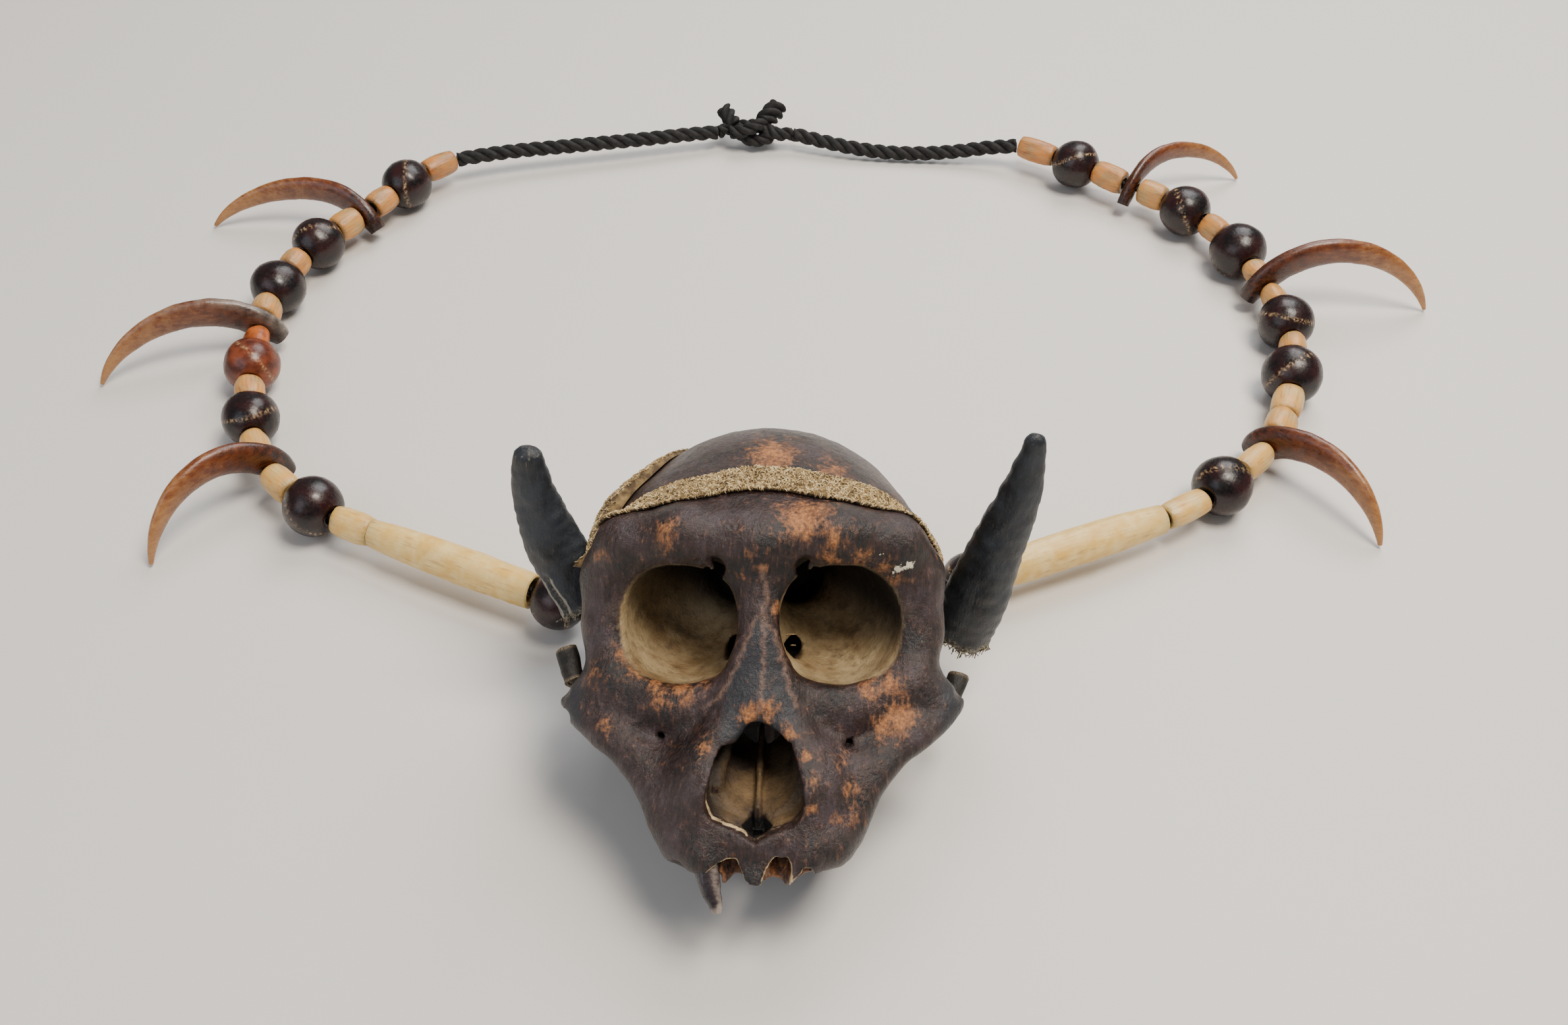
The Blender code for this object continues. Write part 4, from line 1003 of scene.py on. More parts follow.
@dataclass
class Skull:
    """The macaque's skull, without its lower jaw, with one canine left in place."""

    pose: SkullPose = field(default_factory=SkullPose)
    braincase_centre: tuple[float, float, float] = (0.0, 58.0, 42.0)
    braincase_half: tuple[float, float, float] = (30.2, 31.0, 27.2)
    orbit_centre: tuple[float, float, float] = (13.6, 31.0, 39.8)
    orbit_half: tuple[float, float, float] = (11.6, 17.0, 11.5)
    orbit_turn: float = 10.0
    nose_wall: float = 1.1
    socket_depth: float = 4.0
    lumps: Lumps = field(default_factory=lambda: Lumps(7))

    def grid(self) -> BoneField:
        """The empty grid that the bone is formed on, finest over the nose and teeth."""
        coarse = 1.0
        side = np.arange(12.0, 42.5, 0.72 * coarse)
        xs = np.concatenate([-side[::-1], np.arange(-11.5, 11.6, 0.5 * coarse), side])
        ys = np.concatenate([np.arange(-4, 20, 0.5 * coarse), np.arange(20, 42, 0.7 * coarse),
                             np.arange(42, 94, 1.1 * coarse)])
        zs = np.concatenate([np.arange(-10, 27, 0.5 * coarse), np.arange(27, 74.1, 0.72 * coarse)])
        return BoneField(xs, ys, zs)

    def face_depth(self, y: Array, z: Array) -> Array:
        """How far behind the sloping plane of the nose opening a place lies."""
        return (y - 0.61 * z - 1.49) * 0.854

    def foramen(self, x: Array, y: Array) -> Array:
        """The lozenge-shaped hole in the floor of the nose: below 1 inside it."""
        return np.abs(x + 0.1) / 2.7 + np.abs(y - 9.8) / np.where(y < 9.8, 3.4, 6.0)

    def form_masses(self, f: BoneField) -> None:
        """Braincase, face and upper jaw."""
        f.lobe(self.braincase_centre, self.braincase_half, 1.0)
        f.lobe((10.5, 48.0, 46.0), (20.5, 18.0, 18.6), 3.0)
        f.lobe((0.0, 38.0, 48.0), (26.0, 12.0, 12.6), 3.0)
        f.lobe((0.0, 37.0, 54.5), (21.0, 8.5, 8.0), 4.0)
        f.lobe((15.0, 40.0, 41.0), (15.5, 14.0, 14.5), 3.0)
        f.lobe((0.0, 58.0, 22.0), (17.0, 22.0, 11.0), 3.0)
        f.lobe((17.0, 61.0, 21.0), (7.0, 11.0, 8.0), 3.0)
        f.lobe((8.5, 20.0, 13.0), (9.6, 14.0, 10.5), 3.0)
        f.lobe((17.5, 25.8, 23.0), (8.0, 5.0, 6.4), 3.0)
        f.lobe((14.0, 31.5, 26.0), (9.0, 8.5, 5.5), 3.0)
        f.lobe((0.0, 15.0, 7.0), (13.0, 11.0, 6.0), 2.0)
        x, y, z = f.everywhere()
        depth = self.face_depth(y, z)
        front = np.maximum(np.abs(x) - 9.4 - 0.35 * depth, np.maximum(-depth, depth - 6.0))
        f.fill(np.maximum(front, np.maximum(z - 10.0, -3.4 - z)), 2.0)

    def form_ridges(self, f: BoneField) -> None:
        """Brow, orbit rims, cheeks, nose and tooth rows."""
        f.chain(((0.0, 28.8, 55.0), 4.8), ((14.0, 29.6, 56.2), 4.6), ((25.2, 32.8, 53.8), 4.5),
                ((29.2, 35.2, 47.0), 4.1), ((29.2, 33.4, 37.0), 4.0), ((27.2, 28.4, 28.4), 4.4),
                ((15.0, 23.8, 25.2), 4.2), ((5.4, 21.6, 28.4), 3.0), soft=3.5)
        f.chain(((27.4, 28.4, 27.4), 4.3), ((35.0, 28.0, 24.8), 2.8), soft=3.0)
        f.chain(((32.4, 24.8, 22.2), 2.6), ((27.0, 22.5, 19.8), 3.4), ((20.5, 18.5, 15.0), 4.0),
                ((16.2, 13.4, 8.4), 4.6), soft=3.5)
        f.chain(((12.6, 9.4, 5.2), 4.7), ((14.2, 20.0, 4.4), 4.2), ((14.4, 34.0, 5.0), 4.0))
        f.chain(((9.4, 5.8, 4.4), 3.2), ((9.0, 9.6, 12.0), 2.4), soft=2.0)
        f.chain(((7.6, 8.8, 8.6), 2.2), ((9.8, 12.4, 15.4), 2.0), ((7.2, 15.8, 22.0), 2.0),
                ((0.0, 19.0, 27.4), 2.2), soft=2.5)
        f.chain(((5.4, 18.2, 22.6), 4.0), ((2.9, 22.4, 34.0), 2.5), ((1.6, 27.0, 46.0), 2.2),
                soft=3.0)
        f.chain(((0.0, 19.2, 27.0), 3.4), ((0.0, 23.2, 38.0), 2.6), ((0.0, 27.6, 49.0), 3.5),
                soft=3.0)
        f.chain(((7.5, 40.0, 4.0), 1.6), ((8.5, 43.0, 16.0), 2.6), soft=1.5)
        f.chain(((0.0, 44.0, 12.0), 5.0), ((0.0, 60.0, 18.0), 5.5), soft=3.0)
        f.chain(((26.0, 58.0, 27.0), 4.4), ((32.0, 50.0, 25.0), 2.2))
        f.chain(((0.0, 86.0, 39.0), 2.2), ((15.0, 81.5, 38.0), 2.2), ((26.0, 70.0, 34.0), 2.6),
                soft=4.0)
        for y in (15.5, 21.0, 26.5, 32.0):
            f.lobe((13.6, y, 0.2), (2.4, 2.3, 2.8), 1.0)

    def carve_hollows(self, f: BoneField) -> None:
        """Eye sockets, the hollows under the cheeks, palate and the openings of the base."""
        f.lobe(self.orbit_centre, self.orbit_half, 1.2, True, self.orbit_turn)
        f.lobe((9.0, 40.0, 42.0), (6.0, 13.0, 6.0), 2.0, True, 12.0)
        f.bar((35.0, 2.0, 3.4), (35.0, 34.0, 3.4), 15.0, 15.0, 2.5, True)
        f.lobe((0.0, 24.0, -1.0), (9.8, 16.0, 4.8), 1.5, True)
        f.lobe((40.0, 45.0, 30.0), (11.0, 11.0, 15.0), 3.0, True)
        f.lobe((0.0, 66.0, 12.0), (6.0, 6.5, 6.0), 1.0, True)
        f.lobe((8.0, 34.0, 10.0), (2.6, 8.0, 4.0), 1.5, True)

    def carve_nose(self, f: BoneField) -> None:
        """The opening of the nose with its thin rim, and the wider cavity behind it."""
        x, y, z = f.everywhere()
        depth = self.face_depth(y, z)
        opening = outline_distance(NOSE_OUTLINE, f.axes[0][:, None], f.axes[2][None, :])
        f.cut(np.maximum(opening[:, None, :], depth - self.socket_depth))
        t = np.clip((y - 8) / 26, 0, 1)
        tube = np.hypot(x, z - 16 - 8.5 * t) - 8.6 + 1.6 * t
        f.cut(np.maximum(np.maximum(tube, self.nose_wall - depth), y - 40))
        f.cut(np.maximum((self.foramen(x, y) - 1) * 2.0, np.abs(z - 4.0) - 7.0))

    def carve_jaw(self, f: BoneField) -> None:
        """Empty tooth sockets, and the chipped lower edges of the jaw."""
        x, y, z = f.everywhere()
        depth = self.face_depth(y, z)
        f.bar((-4.4, 4.2, -1.5), (-4.0, 8.4, 6.2), 1.75, 1.4, 0.4, True, mirrored=False)
        f.bar((4.2, 4.2, -1.5), (4.0, 8.4, 6.2), 1.7, 1.4, 0.4, True, mirrored=False)
        f.bar((8.6, 4.4, 0.0), (9.0, 8.0, 6.0), 1.9, 1.5, 0.4, True, mirrored=False)
        front = outline_distance(JAW_OUTLINE, f.axes[0][:, None], f.axes[2][None, :])
        f.cut(np.maximum(-front[:, None, :] * 0.9, depth - 2.4), 0.2)
        edge = np.interp(f.axes[0], *zip(*BACK_EDGE))[:, None, None]
        low = z - (edge - 0.5 * np.clip(y - 6.2, -1.5, 8.0))
        f.cut(np.maximum(low * 0.8, np.maximum(y - 14.0, np.abs(x) - 18.4)), 0.2)
        f.lobe((-14.0, 5.4, 2.0), (1.5, 2.6, 1.7), 0.4, True, mirrored=False)
        f.lobe((13.4, 6.0, 0.4), (1.5, 2.6, 1.5), 0.4, True, mirrored=False)

    def carve_details(self, f: BoneField) -> None:
        """Small openings, notches, hooks and broken ends."""
        for side, x in ((-1, -7.8), (1, 8.6)):
            f.chain(((x, 22.0, 52.2), 1.8), ((x, 31.0, 49.5), 1.9), soft=0.5, carve=True,
                    mirrored=False)
            f.chain(((x + 2.0 * side, 26.6, 53.2), 1.3), ((x + 0.5 * side, 26.2, 50.8), 0.5),
                    soft=0.6, mirrored=False)
        f.bar((-17.9, 18.0, 21.0), (-17.0, 25.0, 22.5), 0.7, 0.5, 0.3, True, mirrored=False)
        f.bar((16.3, 17.0, 20.2), (15.8, 24.0, 22.0), 0.8, 0.5, 0.3, True, mirrored=False)
        f.bar((5.4, 36.0, 31.4), (4.6, 48.0, 30.6), 2.2, 1.6, 0.5, True)
        f.lobe((4.6, 30.5, 35.4), (1.9, 4.0, 3.0), 0.4, True, mirrored=False)
        for z, lean in ((34.2, 0.6), (35.6, -0.5), (36.8, 0.3)):
            f.bar((3.2, 29.2, z), (6.4, 30.0, z + lean), 0.38, 0.3, 0.2, mirrored=False)
        f.lobe((37.4, 27.0, 26.6), (1.8, 5.0, 1.4), 0.4, True)
        f.lobe((-36.4, 27.0, 22.6), (1.6, 4.0, 1.2), 0.4, True, mirrored=False)

    def add_septum(self, f: BoneField) -> None:
        """The thin plate that stands in the nose, and the scrolls beside it."""
        for y in np.arange(13.0, 31.0, 0.9):
            top = 10.3 + (y - 13.0) * 0.52
            f.bar((0.3, y, 6.5), (0.1, y, top), 0.55, 0.45, 0.5)
        f.chain(((-7.6, 15.0, 13.6), 1.3), ((-7.0, 20.0, 17.5), 1.6), ((-6.2, 25.0, 20.5), 1.5),
                soft=1.0, mirrored=False)
        f.chain(((7.4, 18.0, 14.5), 1.0), ((6.6, 24.0, 19.0), 1.4), soft=1.0, mirrored=False)
        f.chain(((-5.4, 16.0, 10.4), 0.8), ((-6.4, 22.0, 12.5), 1.2), soft=0.8, mirrored=False)

    def masks_on(self, f: BoneField, p: Array, n: Array) -> dict[str, Array]:
        """What the finish needs to know at each point.

        Args:
            f: the bone's distances.
            p: the points, in the skull's frame.
            n: the outward directions there.

        Returns:
            Masks by name, each from 0 to 1.
        """
        x, y, z = p.T
        side = np.where(x < 0, -1.0, 1.0)
        a = math.radians(self.orbit_turn)
        cx, cy, cz = self.orbit_centre
        qx = (x - side * cx) * math.cos(a) + side * (y - cy) * math.sin(a)
        qy = (y - cy) * math.cos(a) - side * (x - side * cx) * math.sin(a)
        near = np.sqrt((qx / self.orbit_half[0]) ** 2 + (qy / self.orbit_half[1]) ** 2
                       + ((z - cz) / self.orbit_half[2]) ** 2)
        behind = y - (27.3 + 0.146 * (z - 28.4))
        middle = np.stack([side * cx, np.full(len(p), cy), np.full(len(p), cz)], axis=-1)
        facing = smooth_step(0.35, 0.6, np.sum(n * unit(middle - p), axis=1)) * (y > 24.0)
        orbit = smooth_step(1.3, 1.15, near) * np.maximum(smooth_step(-0.2, 1.2, behind), facing)
        pit = (smooth_step(1.04, 1.14, near) * smooth_step(36.0, 40.0, y) * (y < 56)
               * (np.abs(x) < 22) * (z > 26) * (z < 53) * (near < 1.9))
        orbit = np.maximum(orbit, pit)
        # Painted shade in the eye sockets: darker upwards, further back and towards +x, and full in
        # the pits at their backs
        high = (0.75 * (z - cz + 0.2 * (y - cy)) + 0.4 * (x - side * cx)) / 11.5
        orbit_shade = orbit * np.maximum(0.97 * smooth_step(-0.25, 0.5, high), pit)
        depth = self.face_depth(y, z)
        opening = outline_distance(NOSE_OUTLINE, x, z)
        in_nose = (opening < 1.6) & (y < 42.5) & (n[:, 1] > -0.97)
        nostril = in_nose * smooth_step(0.7, 1.5, depth)
        # Painted shade in the nose: darker upwards and further back, on its left wall, and full in
        # the hole in its floor
        nose_shade = nostril * np.maximum(0.1 + 0.87 * smooth_step(11.5, 20.0, z + 0.2 * x),
                                          smooth_step(24.0, 32.0, y))
        nose_shade = np.maximum(nose_shade, nostril * 0.8 * smooth_step(-4.0, -8.0, x))
        nose_shade = np.maximum(nose_shade, (self.foramen(x, y) < 1.12) * (z < 8.4) * (z > 0.5)
                                * smooth_step(0.6, 1.2, depth))
        front = smooth_step(0.0, -0.35, n[:, 1]) * smooth_step(33.0, 29.0, y)
        rim = np.exp(-(opening / 0.4) ** 2) * smooth_step(0.75, 0.35, depth) * (depth > -0.8)
        raw = rim * np.where(x < -1.5, 0.85, np.where(z > 23, 0.7, 0.45))
        edge = outline_distance(JAW_OUTLINE, x, z)
        raw = np.maximum(raw, 0.85 * np.exp(-(edge / 0.4) ** 2) * smooth_step(1.9, 1.2, depth)
                         * (np.abs(x) < 10.4))
        plate = (np.abs(x - 0.2) < 0.9) & (depth > 3.0) & (y > 12.5) & (y < 31) & (z < 20.5)
        plate = plate * smooth_step(0.5, 0.9, n[:, 2])
        raw = np.maximum(raw, 0.45 * plate)
        # Less painted shade on the top edge of the septum
        nose_shade = nose_shade * (1 - 0.6 * plate)
        slate = smooth_step(0.3, -0.5, outline_distance(SLATE_OUTLINE, x, z)) * front
        slate = slate * smooth_step(1.0, 0.3, depth)
        ends = smooth_step(31.5, 34.0, np.abs(x)) * smooth_step(40.0, 36.0, y) * (z < 32)
        slate = np.maximum(slate, ends)
        seam = np.full(len(p), 9.0)
        wave = x + 0.18 * np.sin(z * 2.3) + 0.1 * np.sin(z * 5.1)
        for line in SUTURES:
            line = np.array(sorted(line, key=lambda q: q[1]))
            off = np.abs(wave - np.interp(z, line[:, 1], line[:, 0]))
            off = np.where((z > line[0, 1]) & (z < line[-1, 1]), off, 9.0)
            seam = np.minimum(seam, off)
        seam = smooth_step(0.65, 0.1, seam) * front
        # How closed in each point is, from the distances along its outward direction, for painted
        # shade in tight creases
        open_air = np.zeros(len(p))
        for d in (1.0, 2.0, 3.5):
            open_air += np.clip(1 - f.read(p + n * d) / d, 0, 1) / 3
        rubbed = np.zeros(len(p))
        for sx, sy, sz, radius, strength in RUBBED_PLACES:
            off = np.linalg.norm((p - (sx, sy, sz)) / (radius, radius * 1.8, radius), axis=1)
            rubbed = np.maximum(rubbed, strength * np.exp(-off ** 2))
        arch = (np.abs(x) < 10.5) & (depth > 0.9) & (depth < 5.5) & (z < 7.0)
        rubbed = np.maximum(rubbed, 0.55 * arch)
        inside = np.maximum(orbit, nostril)
        fleck = np.zeros(len(p))
        for sx, sy, sz, radius in PALE_FLECKS:
            off = np.linalg.norm((p - (sx, sy, sz)) / (radius, radius * 2.5, radius), axis=1)
            fleck = np.maximum(fleck, np.exp(-off ** 2))
        # Painted shade: eye sockets, nose and tight creases
        shade = np.maximum(np.maximum(orbit_shade, nose_shade),
                           smooth_step(0.6, 0.95, open_air) * 0.85)
        return {"orbit": orbit, "nostril": nostril, "rubbed": rubbed * (1 - inside),
                "raw": raw, "slate": slate * (1 - inside), "suture": seam * (1 - inside),
                "fleck": fleck, "shade": shade}

    def build(self, material):
        """Forms the bone and lays its masks.

        Args:
            material: its finish.

        Returns:
            The skull.
        """
        f = self.grid()
        self.form_masses(f)
        self.form_ridges(f)
        f.soften(7, 0.25)
        self.carve_hollows(f)
        f.soften(2, 0.05)
        self.carve_nose(f)
        self.add_septum(f)
        self.carve_jaw(f)
        self.carve_details(f)
        turn = np.array(self.pose.matrix())
        up, height = turn[2, :3], turn[2, 3]
        x, y, z = f.everywhere()
        f.cut(up[0] * x + up[1] * y + up[2] * z + height - 0.02, 0.05)
        points, faces = f.skin()
        n = unit(np.stack([f.read(points + axis) - f.read(points - axis)
                           for axis in np.eye(3) * 0.4], axis=-1))
        masks = self.masks_on(f, points, n)
        uneven = 0.14 * self.lumps.at(points, 4.5) + 0.09 * self.lumps.at(points, 1.6)
        low = points @ up + height
        points = points + n * (uneven * smooth_step(0.1, 1.5, low))[:, None]
        shape = Shape()
        shape.add(points @ turn[:3, :3].T + turn[:3, 3], [faces], **masks)
        piece = shape.to_object("skull_bone", material, smooth_angle=180)
        return settle(piece, "bone_patina", "skull")


@dataclass
class Canine:
    """The one tooth left in the upper jaw, curved and worn at its tip."""

    sides: int = 28

    def build(self, pose: SkullPose, material):
        """Lofts the tooth in its socket.

        Args:
            pose: the skull's place.
            material: its finish.

        Returns:
            The tooth.
        """
        stations = np.array([(-9.2, 7.4, 8.0, 2.1), (-9.0, 5.6, 4.8, 2.25), (-8.5, 4.1, 1.6, 2.25),
                             (-7.8, 3.1, -1.0, 2.1), (-7.1, 2.5, -3.0, 1.85),
                             (-6.9, 2.3, -4.0, 1.45), (-6.9, 2.2, -4.6, 0.85)])
        line = smooth_line(stations[:, :3], 0.3)
        radius = np.interp(np.linspace(0, 1, len(line)), np.linspace(0, 1, len(stations)),
                           stations[:, 3])
        _, a, b = frames_along(line)
        t = ring_angles(self.sides)
        ridge = 1 + 0.05 * np.cos(3 * t)[None, :] + 0.02 * np.cos(9 * t + 1)[None, :]
        chipped = Lumps(12).at(line[:, None] + radius[:, None, None] * np.stack(
            [np.cos(t), np.sin(t), 0 * t], -1)[None], 1.1)
        ridge = ridge + 0.07 * chipped
        rings = line[:, None] + (radius[:, None] * ridge)[..., None] * (
            np.cos(t)[None, :, None] * a[:, None] + 0.85 * np.sin(t)[None, :, None] * b[:, None])
        share = np.linspace(0, 1, len(line))[:, None]
        pale = 0.3 + 0.7 * smooth_step(0.86, 1.0, share) + 0.45 * np.clip(np.cos(t - 0.8), 0, 1) ** 6
        m = np.array(pose.matrix())
        shape = Shape()
        shape.add_tube(rings @ m[:3, :3].T + m[:3, 3], along=pale)
        return settle(shape.to_object("canine_tooth", material), "tooth", "canine")


# Bands


@dataclass
class FibreBand:
    """A looped fibre band laid over the skull: a ribbon under a pile of small loops."""

    name: str
    node: str
    route: list[tuple[float, float, float]]
    width: float = 7.0
    thickness: float = 0.9
    fluff: float = 0.0
    loop: float = 0.4
    strand: float = 0.1
    loops: int = 5200
    narrowing: float = 0.3
    seed: int = 3

    def build(self, skull, pose: SkullPose, centre: tuple[float, float, float], material):
        """Lays the band on the bone.

        Args:
            skull: the finished skull.
            pose: its place.
            centre: the middle of its braincase, in its own frame.
            material: the fibre.

        Returns:
            The band.
        """
        m = np.array(pose.matrix())
        route = smooth_line(np.array(self.route), 0.8) @ m[:3, :3].T + m[:3, 3]
        middle = m[:3, :3] @ np.array(centre) + m[:3, 3]
        mesh = skull.data
        corners = np.zeros(len(mesh.vertices) * 3)
        mesh.vertices.foreach_get("co", corners)
        tree = BVHTree.FromPolygons((corners.reshape(-1, 3) / MM).tolist(),
                                    [tuple(f.vertices) for f in mesh.polygons])
        out = unit(route - middle)
        forward = unit(np.gradient(route, axis=0))
        across = unit(np.cross(out, forward))
        share = np.abs(np.linspace(-1, 1, len(route)))
        half = 0.5 * self.width * (1 - self.narrowing * share)
        rng = np.random.default_rng(self.seed)
        wobble = np.interp(np.arange(len(route)), np.arange(0, len(route) + 5, 5),
                           rng.uniform(-0.35, 0.35, len(range(0, len(route) + 5, 5))))
        columns = np.linspace(-1, 1, 15)
        base = np.zeros((len(route), len(columns), 3))
        for i, point in enumerate(route):
            for j, u in enumerate(columns):
                target = point + across[i] * (u * half[i] + wobble[i])
                aim = unit(target - middle)
                hit = tree.ray_cast(Vector(middle + aim * 90), Vector(-aim))[0]
                base[i, j] = np.array(hit) + out[i] * 0.35
        for _ in range(3):
            base[1:-1] = (base[:-2] + 2 * base[1:-1] + base[2:]) / 4
        lift = self.thickness * (1 - 0.35 * np.abs(columns) ** 3)
        puff = 1 + self.fluff * smooth_step(0.45, 0.85, share)
        shape = Shape()
        top = base + out[:, None] * (puff[:, None] * lift)[..., None]
        rings = np.concatenate([base, top[:, ::-1]], axis=1)
        # The ribbon under the loops gets painted shade, near the fibre's shadow colour
        shape.add_tube(rings, loft=0.12)
        self.add_loops(shape, top, out, rng)
        return settle(shape.to_object(self.name, material, smooth_angle=60), "woven_fibre",
                      self.node)

    def add_loops(self, shape: Shape, top: Array, out: Array, rng) -> None:
        """Covers the ribbon with small curls of fibre.

        Args:
            shape: the band so far.
            top: the ribbon's upper points.
            out: the outward directions along it.
            rng: the random numbers.
        """
        rows, columns = top.shape[:2]
        count = self.loops
        r = rng.uniform(0, rows - 1.001, count)
        c = rng.uniform(-0.45, columns - 0.55, count)
        r0 = r.astype(int)
        cc = np.clip(c, 0, columns - 1.001)
        c0 = cc.astype(int)
        fr, fc = (r - r0)[:, None], (cc - c0)[:, None]
        at = ((top[r0, c0] * (1 - fr) + top[r0 + 1, c0] * fr) * (1 - fc)
              + (top[r0, c0 + 1] * (1 - fr) + top[r0 + 1, c0 + 1] * fr) * fc)
        up = unit(out[r0])
        forward = unit(top[r0 + 1, c0] - top[r0, c0])
        side = np.cross(up, forward)
        at = at + side * (c - cc)[:, None] * -0.4
        turn = rng.uniform(0, 2 * math.pi, count)
        flat = np.cos(turn)[:, None] * forward + np.sin(turn)[:, None] * side
        lean = unit(up + 0.7 * np.cross(up, flat) * rng.uniform(-1, 1, count)[:, None])
        size = self.loop * rng.uniform(0.6, 1.35, count)
        steps = np.linspace(-0.1, 1.1, 6) * math.pi
        path = (at[:, None] + (size[:, None] * np.cos(steps))[..., None] * flat[:, None]
                + (0.9 * size[:, None] * np.sin(steps))[..., None] * lean[:, None]
                - 0.1 * up[:, None])
        normal = unit(np.cross(flat, lean))
        tangent = unit(np.gradient(path, axis=1))
        inward = np.cross(tangent, normal[:, None])
        t = ring_angles(3)
        thick = self.strand * rng.uniform(0.7, 1.3, count)
        rings = (path[:, :, None] + thick[:, None, None, None] * (
            np.cos(t)[None, None, :, None] * normal[:, None, None]
            + np.sin(t)[None, None, :, None] * inward[:, :, None]))
        height = np.sin(np.clip(steps, 0, math.pi))
        tone = rng.uniform(0.25, 1.0, count)
        n, m = len(steps), len(t)
        faces = np.arange(count)[:, None, None] * n * m + tube_walls(n, m)[None]
        faces = faces.reshape(-1, 4)
        # Painted shade: each loop darker low down and paler at its top, times its own random tone
        loft = np.repeat((0.25 + 0.75 * height)[None] * tone[:, None], m, axis=1).reshape(-1)
        shape.add(rings.reshape(-1, 3), [faces], loft=loft)


# Horns and thong


@dataclass
class Horn:
    """A blunt dark horn, hollow at its base, tied against the temple."""

    name: str
    node: str
    stations: list[tuple[tuple[float, float, float], float]]
    sides: int = 84
    flatness: float = 0.8
    ragged: float = 1.6
    fibres: int = 70
    fibre_radius: float = 0.11
    split: float | None = None
    seed: int = 1

    def build(self, material):
        """Lofts the horn with its hollow, its frayed rim and the split, where it has one."""
        points = np.array([p for p, _ in self.stations]) - LAYOUT_CENTRE
        halves = np.array([h for _, h in self.stations])
        line = smooth_line(points, 0.7)
        s = np.linspace(0, 1, len(line))
        half = np.interp(s, np.linspace(0, 1, len(halves)), halves)
        half = np.convolve(np.pad(half, 6, mode="edge"), np.ones(13) / 13, "valid")
        tip = np.sqrt(np.clip(1 - ((s - 0.955) / 0.045).clip(0) ** 2, 0, 1))
        half = half * np.maximum(tip, 0.05)
        forward = unit(np.gradient(line, axis=0))
        deep = unit(np.cross(forward, (1.0, 0.0, 0.0)))
        wide = np.cross(deep, forward)
        t = ring_angles(self.sides)
        lumps = Lumps(self.seed + 20)
        growth = 1 + 0.012 * np.sin(s * 90)[:, None] + 0.03 * np.cos(2 * t + 1.0)[None]
        radial = np.cos(t)[None, :, None] * wide[:, None] + (
            self.flatness * np.sin(t)[None, :, None] * deep[:, None])
        rings = line[:, None] + (half[:, None] * growth)[..., None] * radial
        rings = rings + (0.28 * lumps.at(rings, 3.0) + 0.1 * lumps.at(rings, 0.9))[
            ..., None] * unit(radial)
        edge = self.ragged * (0.5 + 0.5 * lumps.at(rings[0] * 3.0, 4.0))
        fall = np.clip(1 - s / 0.16, 0, 1)
        rings = rings + (fall[:, None] * edge[None])[..., None] * forward[0]
        split, split_edge = np.zeros(rings.shape[:2]), np.zeros(rings.shape[:2])
        if self.split is not None:
            off = np.abs((t - math.radians(self.split) + math.pi) % (2 * math.pi) - math.pi)
            stretch = smooth_step(0.3, 0.24, s)[:, None]
            split = stretch * np.exp(-(off / 0.13) ** 2)[None]
            split_edge = stretch * np.exp(-((off - 0.27) / 0.08) ** 2)[None]
            rings = rings + (0.25 * split_edge - 0.9 * split)[..., None] * unit(radial)
        inner_at = [0, 3, 6, 9, 12]
        shrink = np.array([0.90, 0.74, 0.66, 0.5, 0.1])
        inner = line[inner_at][:, None] + (rings[inner_at] - line[inner_at][:, None]) * (
            shrink[:, None, None])
        shape = Shape()
        worn = np.maximum(0.28 * smooth_step(0.75, 1.0, s)[:, None], 0.9 * split_edge)
        fibrous = np.maximum(0.85 * smooth_step(0.05, 0.0, s)[:, None], 0.5 * split)
        shape.add_tube(np.concatenate([inner[::-1], rings]),
                       fibrous=np.concatenate([np.full(inner.shape[:2], 0.9), fibrous]),
                       worn=np.concatenate([np.zeros(inner.shape[:2]), worn]))
        self.add_fray(shape, rings[0], forward[0])
        piece = shape.to_object(self.name, material, smooth_angle=70)
        return settle(piece, "horn", self.node)

    def add_fray(self, shape: Shape, rim: Array, forward: Array) -> None:
        """Small fibres that stick out of the cut base."""
        rng = np.random.default_rng(self.seed)
        for _ in range(self.fibres):
            at = rim[rng.integers(len(rim))]
            way = unit(-forward + rng.normal(0, 0.9, 3))
            bend = rng.normal(0, 0.5, 3)
            steps = np.linspace(0, 1, 6)[:, None] * rng.uniform(0.5, 1.3)
            line = at + way * steps + bend * steps ** 2 * 0.5
            _, a, b = frames_along(line)
            shape.add_tube(round_rings(line, self.fibre_radius, a, b, 4), fibrous=1.0)


